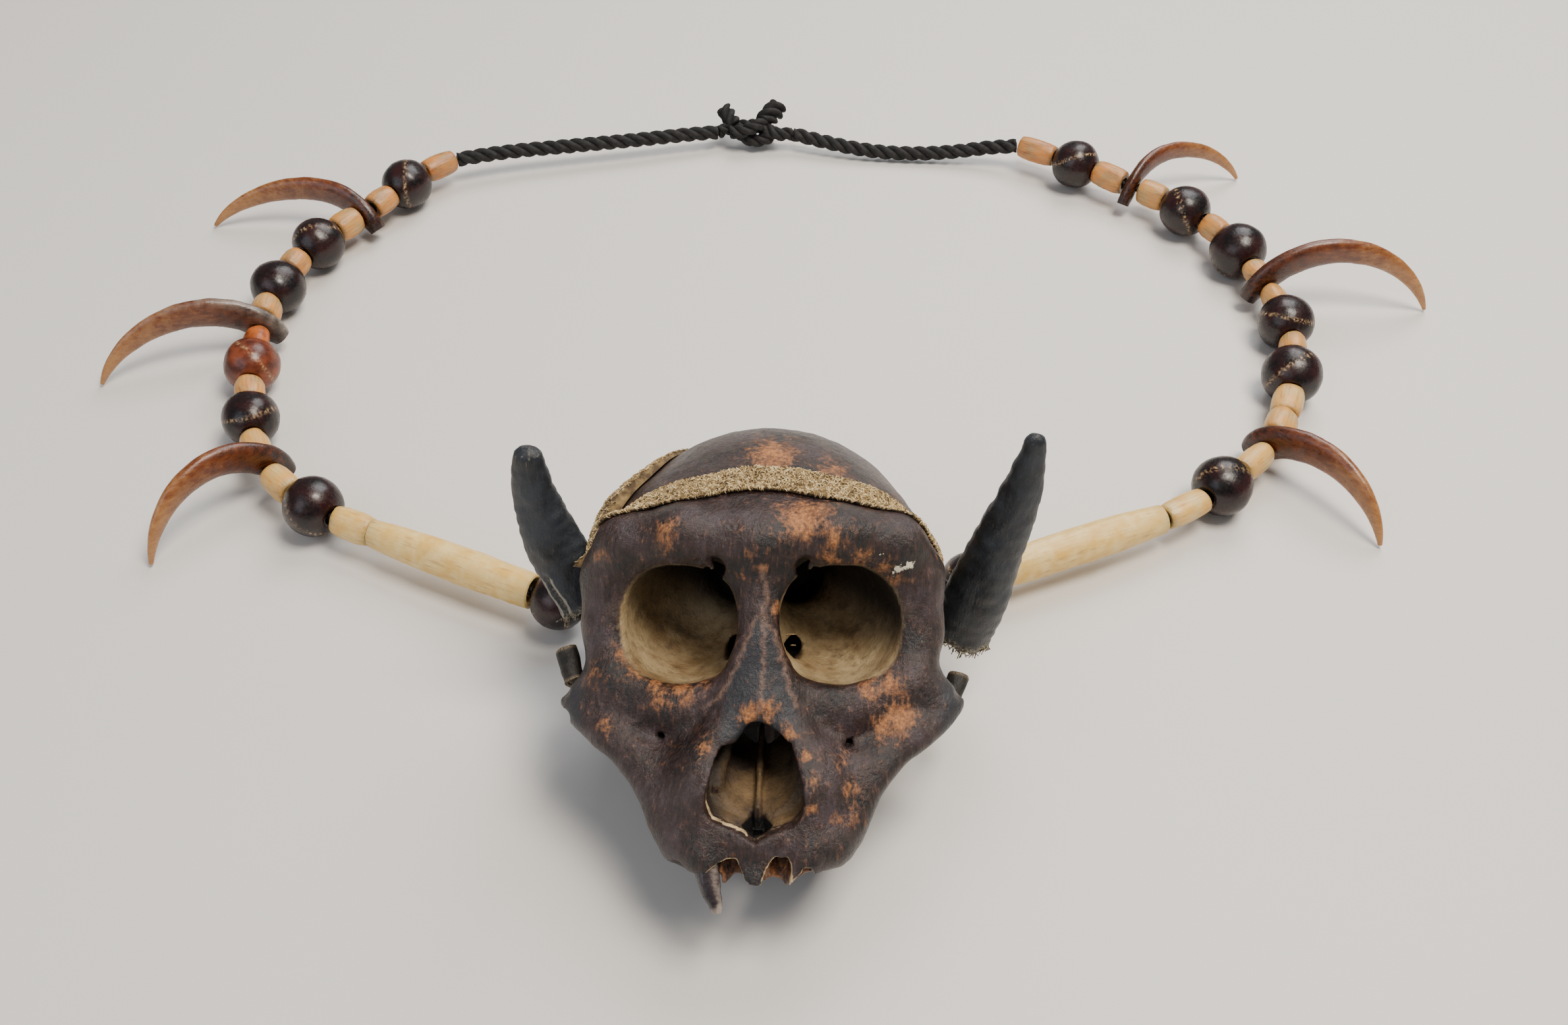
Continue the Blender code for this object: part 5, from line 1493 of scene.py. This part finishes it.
@dataclass
class ThongRoll:
    """The end of a flat hide thong, rolled up on itself."""

    name: str
    node: str
    centre: tuple[float, float, float]
    heading: float
    turns: float = 1.75
    core: float = 0.4
    pitch: float = 0.85
    hide: float = 0.55
    half_length: float = 3.4
    steps: int = 90
    tip_up: float = 12.0

    def build(self, material):
        """Rolls the strip up."""
        angle = np.linspace(0, 2 * math.pi * self.turns, self.steps)
        lumps = Lumps(5)
        radius = self.core + self.pitch * angle / (2 * math.pi)
        across = np.linspace(-1, 1, 9)
        ends = self.half_length * np.sign(across) * np.abs(across) ** 0.8
        way = np.stack([np.cos(angle), np.zeros_like(angle), np.sin(angle)], axis=-1)
        inner = radius[:, None, None] * way[:, None] + (
            ends[None, :, None] * np.array((0.0, 1.0, 0.0)))
        outer = inner + self.hide * way[:, None]
        rings = np.concatenate([inner, outer[:, ::-1]], axis=1)
        crumple = np.stack([lumps.at(rings + shift, 2.4) for shift in (0.0, 7.0, 13.0)], axis=-1)
        rings = rings + 0.28 * crumple + 0.14 * lumps.at(rings, 0.9)[..., None] * way[:, None]
        cut = np.broadcast_to((np.abs(np.concatenate([across, across[::-1]])) > 0.9)[None],
                              rings.shape[:2])
        shape = Shape()
        shape.add_tube(rings, cut=cut)
        piece = shape.to_object(self.name, material, smooth_angle=60)
        at = (np.array(self.centre) - LAYOUT_CENTRE) * MM
        piece.matrix_world = (Matrix.Translation(Vector(at))
                              @ Matrix.Rotation(math.radians(self.heading), 4, "Z")
                              @ Matrix.Rotation(math.radians(self.tip_up), 4, "X"))
        return settle(piece, "thong", self.node)


# Beads


@dataclass
class Bead:
    """One thing on the string, with its place."""

    name: str
    length: float
    diameter: float
    low: Array
    high: Array
    age: float = 0.5
    seed: int = 0

    def matrix(self) -> Matrix:
        """From the bead's own frame, z along the string, to the layout in metres."""
        along = Vector(self.high - self.low).normalized()
        middle = Vector((self.low + self.high) / 2 - LAYOUT_CENTRE) * MM
        spin = Matrix.Rotation(self.seed * 1.7, 4, "Z")
        return (Matrix.Translation(middle) @ along.to_track_quat("Z", "Y").to_matrix().to_4x4()
                @ spin)

    def turned(self, outline: Array, sides: int, **masks: Array | float) -> Shape:
        """Turns an outline of radius and height round the string, into a closed ring.

        Args:
            outline: radius and height, from the bore round the outside and back.
            sides: how many sides the bead has.
            **masks: a value for each point of the outline, or one for all.

        Returns:
            The bead's shape.
        """
        t = ring_angles(sides)
        n = len(outline)
        rings = np.stack([outline[:, :1] * np.cos(t), outline[:, :1] * np.sin(t),
                          np.broadcast_to(outline[:, 1:], (n, sides))], axis=-1)
        i = np.arange(n)[:, None]
        j = np.arange(sides)[None, :]
        k = (j + 1) % sides
        faces = np.stack([i * sides + j, i * sides + k, (i + 1) % n * sides + k,
                          (i + 1) % n * sides + j], axis=-1).reshape(-1, 4)
        full = {name: np.repeat(np.asarray(v, float), sides) if np.ndim(v) else v
                for name, v in masks.items()}
        shape = Shape()
        shape.add(rings, [faces], **full)
        return shape


@dataclass
class Seed(Bead):
    """A round pierced seed with a countersunk hole and a curved seam."""

    bore: float = 1.6
    seam_wear: float = 0.9

    def build(self, material):
        """Turns the seed and roughens it."""
        r, h = self.diameter / 2, self.length / 2
        start = math.asin(min((self.bore + 0.9) / r, 0.9))
        turn = np.linspace(start, math.pi - start, 26)
        outside = np.stack([r * np.sin(turn) ** 0.92, h * np.cos(turn) / math.cos(start)], -1)
        sink = np.array([(self.bore, h - 1.6), (self.bore + 0.25, h - 0.75),
                         (self.bore + 0.6, h - 0.2)])
        outline = np.vstack([sink, outside, (sink * (1, -1))[::-1]])
        shape = self.turned(outline, 40)
        p = shape.points[0]
        lumps = Lumps(self.seed)
        way = unit(p * (1, 1, 0.6))
        outer = smooth_step(self.bore + 0.3, self.bore + 1.4, np.linalg.norm(p[:, :2], axis=1))
        p = p + way * (outer * (0.22 * lumps.at(p, 4.5) + 0.06 * lumps.at(p, 1.2)))[:, None]
        side = unit(np.array((math.cos(self.seed * 2.1), math.sin(self.seed * 2.1), 0.45)))
        bowed = p @ side / r + 0.16 * np.sin(p[:, 2] / h * 2.2)
        shape.points[0] = p
        shape.masks[0] = {"seam": self.seam_wear * np.exp(-((bowed - 0.15) / 0.035) ** 2)}
        piece = shape.to_object(self.name + "_seed", material, smooth_angle=50)
        piece.data.transform(self.matrix())
        return settle(piece, "seed", self.name)


@dataclass
class BoneBead(Bead):
    """A short barrel of bone, cut across and rubbed round at its ends."""

    bore: float = 1.6

    def outline(self) -> tuple[Array, Array]:
        """The outline from bore to outside, and how much darker it is made at each point."""
        r, h = self.diameter / 2, self.length / 2
        z = np.linspace(1, -1, 15)
        bulge = r * (1 - 0.13 * np.abs(z) ** 2.6)
        body = np.stack([bulge, z * (h - 0.25)], -1)
        lip = np.array([(self.bore, h - 0.7), (self.bore + 0.15, h - 0.12),
                        ((self.bore + r) / 2, h), (0.87 * r - 0.35, h - 0.02)])
        outline = np.vstack([lip, body, (lip * (1, -1))[::-1]])
        # Darkest in the bore, fading over the end faces, and a little darker at the ends of the body
        grime = np.concatenate([[1.0, 0.8, 0.35, 0.2], 0.35 * np.abs(z) ** 6,
                                [0.2, 0.35, 0.8, 1.0]])
        return outline, grime

    def build(self, material):
        """Turns the bead, facets it a little and roughens it."""
        outline, grime = self.outline()
        shape = self.turned(outline, 36, grime=grime, age=self.age)
        p = shape.points[0]
        lumps = Lumps(self.seed + 3)
        angle = np.arctan2(p[:, 1], p[:, 0])
        outer = smooth_step(self.bore + 0.2, self.bore + 1.0, np.linalg.norm(p[:, :2], axis=1))
        swell = 0.05 * np.cos(2 * angle + self.seed) + 0.03 * np.cos(3 * angle)
        swell = swell + 0.035 * lumps.at(p * (1, 1, 0.3), 1.6) + 0.02 * lumps.at(p, 0.7)
        p = p * np.stack([1 + outer * swell, 1 + outer * swell, np.ones(len(p))], -1)
        shape.points[0] = p
        piece = shape.to_object(self.name + "_bead", material, smooth_angle=45)
        piece.matrix_world = self.matrix()
        return settle(piece, "bone_bead", self.name)


@dataclass
class BoneTube(BoneBead):
    """A long slender bone tube, wide at the end by the skull."""

    bore: float = 1.9

    def outline(self) -> tuple[Array, Array]:
        """The outline from bore to outside, and how much darker it is made at each point."""
        r, h = self.diameter / 2, self.length / 2
        z = np.linspace(1, -1, 40)
        body_radius = np.interp(z, [-1, -0.8, -0.2, 0.35, 0.8, 1],
                                [0.93 * r, 0.96 * r, r, 0.97 * r, 0.84 * r, 0.76 * r])
        body = np.stack([body_radius, z * (h - 0.2)], -1)
        outer = np.array([(self.bore, h - 3.0), (self.bore, h - 0.1),
                          ((self.bore + 0.76 * r) / 2, h), (0.76 * r - 0.3, h)])
        inner = np.array([(0.93 * r - 0.3, -h), (0.8 * r, -h), (0.72 * r, -h + 0.3),
                          (0.66 * r, -h + 2.5), (self.bore, -h + 6.0)])
        outline = np.vstack([outer, body, inner])
        # Darkest in the bore and deep inside the wide open end, fading towards the outside
        grime = np.concatenate([[1.0, 0.8, 0.3, 0.2], 0.3 * np.abs(z) ** 10,
                                [0.1, 0.15, 0.5, 0.95, 1.0]])
        return outline, grime


@dataclass
class Tusk(Bead):
    """A curved tusk hung by its root, arching out from the string and down to its tip."""

    heading: float = 0.0
    reach: float = 40.0
    arch: float = 14.0
    width: float = 8.0
    thickness: float = 4.5
    grey: float = 0.0
    hole: float = 1.6
    root_back: float = 4.6
    root_height: float = 3.9
    tip_height: float = 0.8
    blunt: float = 0.5
    sides: int = 28

    def build(self, material):
        """Lofts the tusk and bores its root."""
        along = unit(self.high - self.low)
        tip = np.array((math.cos(math.radians(self.heading)),
                        math.sin(math.radians(self.heading)), 0.0))
        square = unit(np.array((along[1], -along[0], 0.0)))
        square = square * (1 if square @ tip > 0 else -1)
        skew = math.atan2(square[0] * tip[1] - square[1] * tip[0], square @ tip)
        t = np.linspace(0, 1, 60)
        s = 1 - t
        lift = (8 * self.arch - self.root_height) / 6
        x = -self.root_back * s ** 3 + 0.3 * self.reach * s * s * t + (
            2.4 * self.reach * s * t * t) + self.reach * t ** 3
        z = self.root_height * s ** 3 + 3 * lift * s * s * t + 3 * lift * s * t * t + (
            self.tip_height * t ** 3)
        out = np.maximum(x, 0)
        line = np.stack([np.where(out > 0, out * math.cos(skew), x),
                         out * math.sin(skew) * out / self.reach, z], -1)
        forward = unit(np.gradient(line, axis=0))
        side = unit(np.cross((0.0, 0.0, 1.0), forward))
        top = np.cross(forward, side)
        root = 1 - 0.5 * (1 - np.minimum(1.0, t / 0.16)) ** 2
        taper = 1 - t ** 2.8
        wide = ((0.5 * self.width - self.blunt) * taper * root + self.blunt)[:, None]
        thick = ((0.5 * self.thickness - self.blunt) * taper + self.blunt)[:, None]
        a = ring_angles(self.sides)
        oval = np.sign(np.cos(a)) * np.abs(np.cos(a)) ** 0.9
        rings = line[:, None] + (wide * oval)[..., None] * top[:, None] + (
            thick * np.sin(a))[..., None] * side[:, None]
        lumps = Lumps(self.seed + 9)
        radial = unit(rings - line[:, None])
        rings = rings + (0.13 * lumps.at(rings, 3.0) + 0.05 * lumps.at(rings, 0.8))[
            ..., None] * radial * (1 - t ** 4)[:, None, None]
        shape = Shape()
        ridge = self.grey * np.clip(np.cos(a), 0, 1)[None] ** 2 * (1 - t)[:, None]
        shape.add_tube(rings, along=np.repeat(t[:, None], len(a), 1), ridge=ridge)
        piece = shape.to_object(self.name + "_tusk", material, smooth_angle=60)
        middle = (self.low + self.high) / 2 - LAYOUT_CENTRE
        place = (Matrix.Translation(Vector((middle[0], middle[1], 0)) * MM)
                 @ Matrix.Rotation(math.atan2(square[1], square[0]), 4, "Z"))
        piece.matrix_world = place
        self.drill(piece, Vector(middle) * MM, Vector(along))
        return settle(piece, "tusk", self.name)

    def drill(self, piece, middle: Vector, along: Vector) -> None:
        """Cuts the hole that the string runs through."""
        shape = bmesh.new()
        bmesh.ops.create_cone(shape, cap_ends=True, segments=24, radius1=self.hole * MM,
                              radius2=self.hole * MM, depth=0.02)
        mesh = bpy.data.meshes.new("drill")
        shape.to_mesh(mesh)
        shape.free()
        cutter = bpy.data.objects.new("drill", mesh)
        bpy.context.scene.collection.objects.link(cutter)
        cutter.matrix_world = (Matrix.Translation(middle)
                               @ along.to_track_quat("Z", "Y").to_matrix().to_4x4())
        step = piece.modifiers.new("drill", "BOOLEAN")
        step.object = cutter
        step.solver = "EXACT"
        bpy.context.view_layer.update()
        graph = bpy.context.evaluated_depsgraph_get()
        piece.data = bpy.data.meshes.new_from_object(piece.evaluated_get(graph))
        piece.modifiers.clear()
        bpy.data.objects.remove(cutter)


# Strings and rope


@dataclass
class LaidCord:
    """A cord laid up from three strands."""

    name: str
    node: str
    diameter: float
    pitch: float
    strands: int = 3
    sides: int = 10
    strand_share: float = 0.268

    def add_to(self, shape: Shape, line: Array, diameter: float | None = None) -> None:
        """Lays the strands round a line.

        Args:
            shape: what they are added to.
            line: the centreline, closely spaced.
            diameter: the cord's diameter, if it isn't the usual one.
        """
        d = diameter or self.diameter
        strand = d * self.strand_share
        throw = d / 2 - strand
        forward, a, b = frames_along(line)
        along = running_length(line)
        for k in range(self.strands):
            turn = 2 * math.pi * (along / self.pitch + k / self.strands)
            way = np.cos(turn)[:, None] * a + np.sin(turn)[:, None] * b
            centre = line + throw * way
            rib = np.cross(forward, way)
            shape.add_tube(round_rings(centre, strand, way, rib, self.sides))

    def build(self, line: Array, material):
        """Makes the cord along a line as one piece.

        Args:
            line: the centreline, in millimetres of the layout.
            material: its finish.

        Returns:
            The cord.
        """
        shape = Shape()
        self.add_to(shape, line)
        piece = shape.to_object(self.name, material, smooth_angle=180)
        return settle(piece, "cord", self.node)


@dataclass
class Strand:
    """All that is threaded on one side, from the skull outwards."""

    side: Side
    route: list[tuple[float, float]]
    start: float
    beads: list[tuple]
    tusks: list[tuple]
    height: float = 7.6
    rim: float = 3.0

    def line(self) -> tuple[Array, Array]:
        """The string's route and the length along it."""
        points = smooth_line(np.array([(x, y, self.height) for x, y in self.route]), 0.5)
        return points, running_length(points)

    def spans(self) -> list[tuple[Array, Array]]:
        """The ends of each bead, sized so that together they fill the route."""
        points, along = self.line()
        share = 1.0
        for _ in range(7):
            here, before, found = self.start, None, []
            for _, length, *_ in self.beads:
                full = length * share
                ends = at_length(points, along, np.array((here, here + full)))
                if before is not None:
                    way = ends[1] - ends[0]
                    bend = math.acos(np.clip(unit(before) @ unit(way), -1, 1))
                    here += self.rim * math.sin(bend)
                    ends = at_length(points, along, np.array((here, here + full)))
                before = ends[1] - ends[0]
                found.append((ends[0], ends[1]))
                here += full + GAP
            result = found
            if abs(here - GAP - along[-1]) < 1e-4:
                break
            share *= (along[-1] - self.start) / (here - GAP - self.start)
        return result

    def build(self, finishes: dict) -> list[Array]:
        """Makes every bead and tusk of the side.

        Args:
            finishes: the materials by name.

        Returns:
            The corners of the string through them.
        """
        numbers = {"seed": 0, "bone": 0, "tube": 0, "tusk": 0}
        spans = self.spans()
        corners = []
        for i, ((kind, _, diameter, age), (low, high)) in enumerate(zip(self.beads, spans)):
            numbers[kind] += 1
            name = f"{kind}_{self.side.value}_{numbers[kind]}"
            seed = i + (50 if self.side is Side.RIGHT else 0)
            common = {"name": name, "length": float(np.linalg.norm(high - low)),
                      "diameter": diameter, "low": low, "high": high, "age": age, "seed": seed}
            if kind == "seed":
                Seed(**common).build(finishes["red_seed" if age > 0.5 else "seed"])
            elif kind == "bone":
                BoneBead(**common).build(finishes["bone"])
            elif kind == "tube":
                BoneTube(**common).build(finishes["bone"])
            else:
                heading, reach, arch, width, thickness = self.tusks[numbers[kind] - 1]
                Tusk(**common, heading=heading, reach=reach, arch=arch, width=width,
                     thickness=thickness, grey=age).build(finishes["tusk"])
            corners += [low, high]
        return corners


# The same routes and sizes as the solids have, seen from above with y away from the viewer
LEFT_STRAND = Strand(
    Side.LEFT,
    [(-37.0, 213.0), (-48.0, 218.0), (-57.0, 222.0), (-75.0, 229.7), (-93.2, 237.6),
     (-103.0, 242.2), (-109.0, 246.2), (-115.0, 250.8), (-120.0, 256.3), (-124.0, 263.0),
     (-127.0, 270.0), (-129.5, 278.0), (-131.5, 286.0), (-133.0, 294.0), (-134.0, 302.0),
     (-134.6, 310.0), (-134.8, 318.0), (-134.0, 326.0), (-132.0, 335.0), (-128.6, 343.5),
     (-123.5, 352.0), (-118.0, 359.5), (-113.5, 367.0), (-109.5, 374.4), (-104.0, 381.2),
     (-98.3, 386.3)],
    6.2,
    [("seed", 11.6, 12.2, 0.0), ("tube", 42.4, 8.7, 0.0), ("bone", 10.0, 6.9, 0.15),
     ("seed", 12.8, 13.8, 0.0), ("bone", 8.7, 7.3, 0.35), ("tusk", 5.0, 0.0, 0.0),
     ("bone", 8.3, 7.0, 0.45), ("seed", 12.8, 13.4, 0.0), ("bone", 7.0, 6.9, 0.6),
     ("seed", 12.6, 13.6, 1.0), ("bone", 6.0, 6.5, 1.2), ("tusk", 5.0, 0.0, 0.8),
     ("bone", 6.6, 8.4, 0.6), ("seed", 13.2, 14.2, 0.0), ("bone", 6.4, 7.4, 0.7),
     ("seed", 13.0, 13.9, 0.0), ("bone", 7.8, 7.6, 0.6), ("tusk", 4.8, 0.0, 0.0),
     ("bone", 8.0, 7.4, 0.7), ("seed", 13.0, 13.7, 0.0), ("bone", 9.8, 7.0, 0.75)],
    [(-130.0, 32.4, 15.0, 8.2, 4.6), (-157.0, 40.5, 13.4, 8.6, 4.4),
     (177.0, 43.6, 11.4, 8.0, 4.4)],
)
RIGHT_STRAND = Strand(
    Side.RIGHT,
    [(28.0, 219.5), (36.0, 224.0), (51.0, 231.0), (70.0, 239.3), (88.1, 247.7),
     (95.0, 252.0), (102.0, 258.5), (109.0, 264.8), (114.5, 270.5), (118.5, 277.0),
     (122.0, 285.0), (125.0, 293.5), (127.5, 302.0), (129.3, 311.0), (129.6, 320.0),
     (128.6, 329.5), (126.4, 339.0), (123.3, 349.5), (118.8, 360.0), (112.0, 369.0),
     (104.0, 376.3), (94.3, 383.4), (84.2, 391.0), (76.0, 396.4), (67.8, 401.0)],
    8.6,
    [("seed", 12.4, 13.0, 0.0), ("tube", 43.9, 8.7, 0.0), ("bone", 11.8, 6.8, 0.2),
     ("seed", 13.2, 14.1, 0.0), ("bone", 10.1, 7.0, 0.3), ("tusk", 5.2, 0.0, 0.0),
     ("bone", 8.2, 8.0, 0.5), ("bone", 9.5, 7.5, 0.4), ("seed", 13.6, 15.0, 0.0),
     ("bone", 7.0, 7.2, 0.6), ("seed", 13.4, 14.3, 0.0), ("bone", 6.0, 6.8, 0.6),
     ("tusk", 4.8, 0.0, 0.0), ("bone", 5.9, 6.6, 0.6), ("seed", 14.0, 15.2, 0.0),
     ("bone", 7.2, 6.9, 0.7), ("seed", 13.3, 14.0, 0.0), ("bone", 7.9, 7.2, 0.6),
     ("tusk", 4.5, 0.0, 0.0), ("bone", 9.7, 7.6, 0.7), ("seed", 12.8, 13.5, 0.0),
     ("bone", 11.2, 7.0, 0.75)],
    [(-50.0, 33.6, 12.0, 8.8, 4.8), (0.0, 44.4, 17.2, 8.2, 4.4), (25.0, 38.0, 13.3, 6.2, 3.4)],
)
ROPE_ROUTES = {
    Side.LEFT: [(-98.3, 386.3, 7.6), (-85.0, 391.6, 7.2), (-71.7, 395.4, 6.7),
                (-58.2, 398.9, 6.3), (-44.6, 402.3, 6.0), (-35.4, 404.9, 5.8),
                (-22.7, 408.3, 5.3)],
    Side.RIGHT: [(67.8, 401.0, 7.6), (58.0, 402.6, 5.6), (47.0, 403.0, 3.6),
                 (36.0, 403.2, 2.7), (25.0, 403.6, 2.9), (14.0, 405.0, 3.9),
                 (0.3, 408.4, 5.2)],
}
ROPE_LEAD = 1.3
STRING_TAIL = 0.5
FOREHEAD_ROUTE = [(-25.0, 40.5, 55.5), (-19.0, 39.4, 58.5), (-10.0, 38.5, 62.0),
                  (0.0, 38.8, 64.0), (10.0, 38.7, 62.5), (21.0, 40.6, 57.8),
                  (27.5, 42.5, 51.0), (30.0, 43.5, 47.0)]
CROWN_ROUTE = [(-31.5, 42.5, 46.0), (-30.4, 46.0, 52.5), (-27.5, 51.0, 58.0),
               (-22.5, 60.0, 60.0), (-15.5, 74.0, 55.5), (-5.0, 85.0, 48.0),
               (8.0, 84.0, 46.0), (20.0, 76.0, 45.5), (29.5, 64.0, 44.5),
               (33.4, 54.0, 44.0), (33.6, 49.5, 43.0)]
LEFT_HORN = [((-38.0, 198.0, 27.5), 4.6), ((-41.0, 202.0, 33.0), 5.8), ((-44.4, 205.0, 40.0), 5.7),
             ((-46.9, 207.0, 48.0), 4.8), ((-47.8, 207.5, 55.5), 3.8), ((-47.5, 207.5, 62.2), 2.4)]
RIGHT_HORN = [((36.2, 203.0, 15.4), 5.8), ((38.6, 204.6, 27.0), 6.4), ((41.6, 207.0, 39.5), 5.2),
              ((44.9, 209.0, 53.0), 3.8), ((46.4, 210.5, 66.0), 1.7)]


@dataclass
class Fastening:
    """The two laid ropes at the back and the knot that joins them."""

    diameter: float = 4.4
    pitch: float = 12.0

    def rope(self, side: Side, material, on_it: list):
        line = smooth_line(np.array(ROPE_ROUTES[side]) - LAYOUT_CENTRE, 10.0)
        line[0] += unit(line[1] - line[0]) * ROPE_LEAD
        fine = smooth_line(line, 0.6)
        cord = LaidCord(f"laid_rope_{side.value}", f"rope_{side.value}", self.diameter,
                        self.pitch)
        piece = cord.build(fine, material)
        return piece

    def knot(self, material):
        """Winds the knot from turns of the same rope, with its two cut ends."""
        shape = Shape()
        rope = LaidCord("knot", "knot", 4.2, 9.0)
        runs = [
            [(-22.3, 408.4, 5.3), (-18.0, 411.2, 5.2), (-12.5, 412.0, 5.6), (-9.0, 409.6, 6.4),
             (-5.0, 407.6, 5.6), (-0.1, 408.5, 5.2)],
            [(-18.4, 407.6, 5.8), (-14.0, 406.6, 7.2), (-10.0, 408.6, 8.0), (-9.2, 412.0, 6.6),
             (-12.0, 413.2, 4.4)],
            [(-16.0, 409.6, 4.4), (-12.0, 407.0, 3.6), (-7.6, 407.6, 4.2), (-5.0, 410.4, 5.4)],
        ]
        for run in runs:
            rope.add_to(shape, smooth_line(np.array(run) - LAYOUT_CENTRE, 0.6))
        ends = [([(-17.6, 410.6, 6.2), (-19.4, 413.6, 7.6), (-20.8, 416.0, 8.4)], 5.2),
                ([(-8.8, 411.0, 7.0), (-6.6, 414.2, 8.4), (-4.6, 417.0, 8.8)], 6.6)]
        for run, width in ends:
            rope.add_to(shape, smooth_line(np.array(run) - LAYOUT_CENTRE, 0.6), width)
        piece = shape.to_object("rope_knot", material, smooth_angle=180)
        return settle(piece, "cord", "knot")


@dataclass
class Stage:
    """The surface, the lights and the camera."""

    eye_height: float = 258.0
    pitch_down: float = 45.5
    roll: float = 1.3
    focal_pixels: float = 2350.0

    def build(self) -> None:
        """Sets up everything that isn't part of the necklace."""
        self.add_surface()
        self.add_camera()
        self.add_lights()

    def add_surface(self) -> None:
        """Lays the plain pale surface."""
        mesh = bpy.data.meshes.new("surface")
        far = 3.0
        mesh.from_pydata([(-far, -far, 0), (far, -far, 0), (far, far, 0), (-far, far, 0)], [],
                         [(0, 1, 2, 3)])
        surface = bpy.data.objects.new("surface", mesh)
        bpy.context.scene.collection.objects.link(surface)
        mesh.materials.append(PaleTop().material())

    def add_camera(self) -> None:
        """Puts the camera where the photograph was taken from."""
        lens = bpy.data.cameras.new("camera")
        lens.sensor_width = 36.0
        lens.lens = 36.0 * self.focal_pixels / PHOTO_SIZE[0]
        lens.clip_start = 0.01
        camera = bpy.data.objects.new("camera", lens)
        bpy.context.scene.collection.objects.link(camera)
        eye = (np.array((0.0, 0.0, self.eye_height)) - LAYOUT_CENTRE) * MM
        camera.matrix_world = (Matrix.Translation(Vector(eye))
                               @ Matrix.Rotation(math.radians(90 - self.pitch_down), 4, "X")
                               @ Matrix.Rotation(math.radians(self.roll), 4, "Z"))
        bpy.context.scene.camera = camera

    def add_lights(self) -> None:
        """Hangs the soft lights."""
        lights = [("key", (0.3, -0.1, 0.95), 0.4, 12.0, "#fff4e6"),
                  ("fill", (-0.6, -0.55, 0.6), 0.7, 2.5, "#eef3ff"),
                  ("back", (0.25, 0.6, 0.75), 0.6, 7.0, "#ffffff")]
        for name, place, size, power, colour in lights:
            light = bpy.data.lights.new(name, "AREA")
            light.size = size
            light.energy = power
            light.color = linear(colour)[:3]
            lamp = bpy.data.objects.new(name, light)
            lamp.location = place
            lamp.rotation_euler = (-Vector(place)).to_track_quat("-Z", "Y").to_euler()
            bpy.context.scene.collection.objects.link(lamp)
        world = bpy.data.worlds.new("room")
        world.use_nodes = True
        world.node_tree.nodes["Background"].inputs[0].default_value = linear("#e9ecf0")
        world.node_tree.nodes["Background"].inputs[1].default_value = 0.25
        bpy.context.scene.world = world


def string_line(corners: list[Array], node: str) -> Array:
    """The string through the beads, from where the solid one starts.

    Args:
        corners: the ends of each bead.
        node: the solid string's node, whose box gives the inner end.

    Returns:
        The centreline on the layout.
    """
    first, second = corners[0] - LAYOUT_CENTRE, corners[1] - LAYOUT_CENTRE
    way = unit(first - second)
    low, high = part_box(node)
    edge = (high.x if way[0] > 0 else low.x) / MM
    reach = abs((edge - first[0]) / way[0])
    line = [first + way * reach] + [c - LAYOUT_CENTRE for c in corners]
    line[-1] = line[-1] + unit(line[-1] - line[-2]) * STRING_TAIL
    return smooth_line(np.array(line), 0.5)


def main() -> None:
    """Builds every piece over the solids."""
    logging.basicConfig(level=logging.INFO, format="%(name)s %(message)s")
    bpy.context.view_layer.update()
    Stage().build()
    cord = BlackCord().material()
    fastening = Fastening()
    knot = fastening.knot(cord)
    fastening.rope(Side.LEFT, cord, [knot])
    fastening.rope(Side.RIGHT, cord, [])
    finishes = {
        "seed": PolishedSeed().material(),
        "red_seed": PolishedSeed("red_seed", "#4a1e10", "#8a4526", "#b07a4a").material(),
        "bone": BeadBone().material(),
        "tusk": StainedTusk().material(),
    }
    for strand in (LEFT_STRAND, RIGHT_STRAND):
        corners = strand.build(finishes)
        node = f"string_{strand.side.value}"
        LaidCord(f"threaded_{node}", node, 2.2, 6.0).build(string_line(corners, node), cord)
    skull = Skull()
    bone = skull.build(SmokedBone().material(skull.pose.tilt_back))
    tooth = StainedTusk("smoked_tooth", "#120d0f", "#33292c", "#94877c", "#8f887c")
    Canine().build(skull.pose, tooth.material())
    fibre = PlantFibre().material()
    FibreBand("forehead_binding", "forehead_band", FOREHEAD_ROUTE, 7.0).build(
        bone, skull.pose, skull.braincase_centre, fibre)
    FibreBand("crown_binding", "crown_band", CROWN_ROUTE, 10.0, 1.2, 1.6, seed=8).build(
        bone, skull.pose, skull.braincase_centre, fibre)
    horn = OldHorn().material()
    Horn("dark_horn_left", "horn_left", LEFT_HORN, split=-135.0, seed=1).build(horn)
    Horn("dark_horn_right", "horn_right", RIGHT_HORN, ragged=2.6, fibres=190, seed=2).build(horn)
    hide = WornHide().material()
    ThongRoll("hide_roll_left", "thong_roll_left", (-39.5, 184.0, 28.0), 20.0).build(hide)
    ThongRoll("hide_roll_right", "thong_roll_right", (33.5, 185.0, 21.5), -20.0).build(hide)


if __name__ == "__main__":
    main()
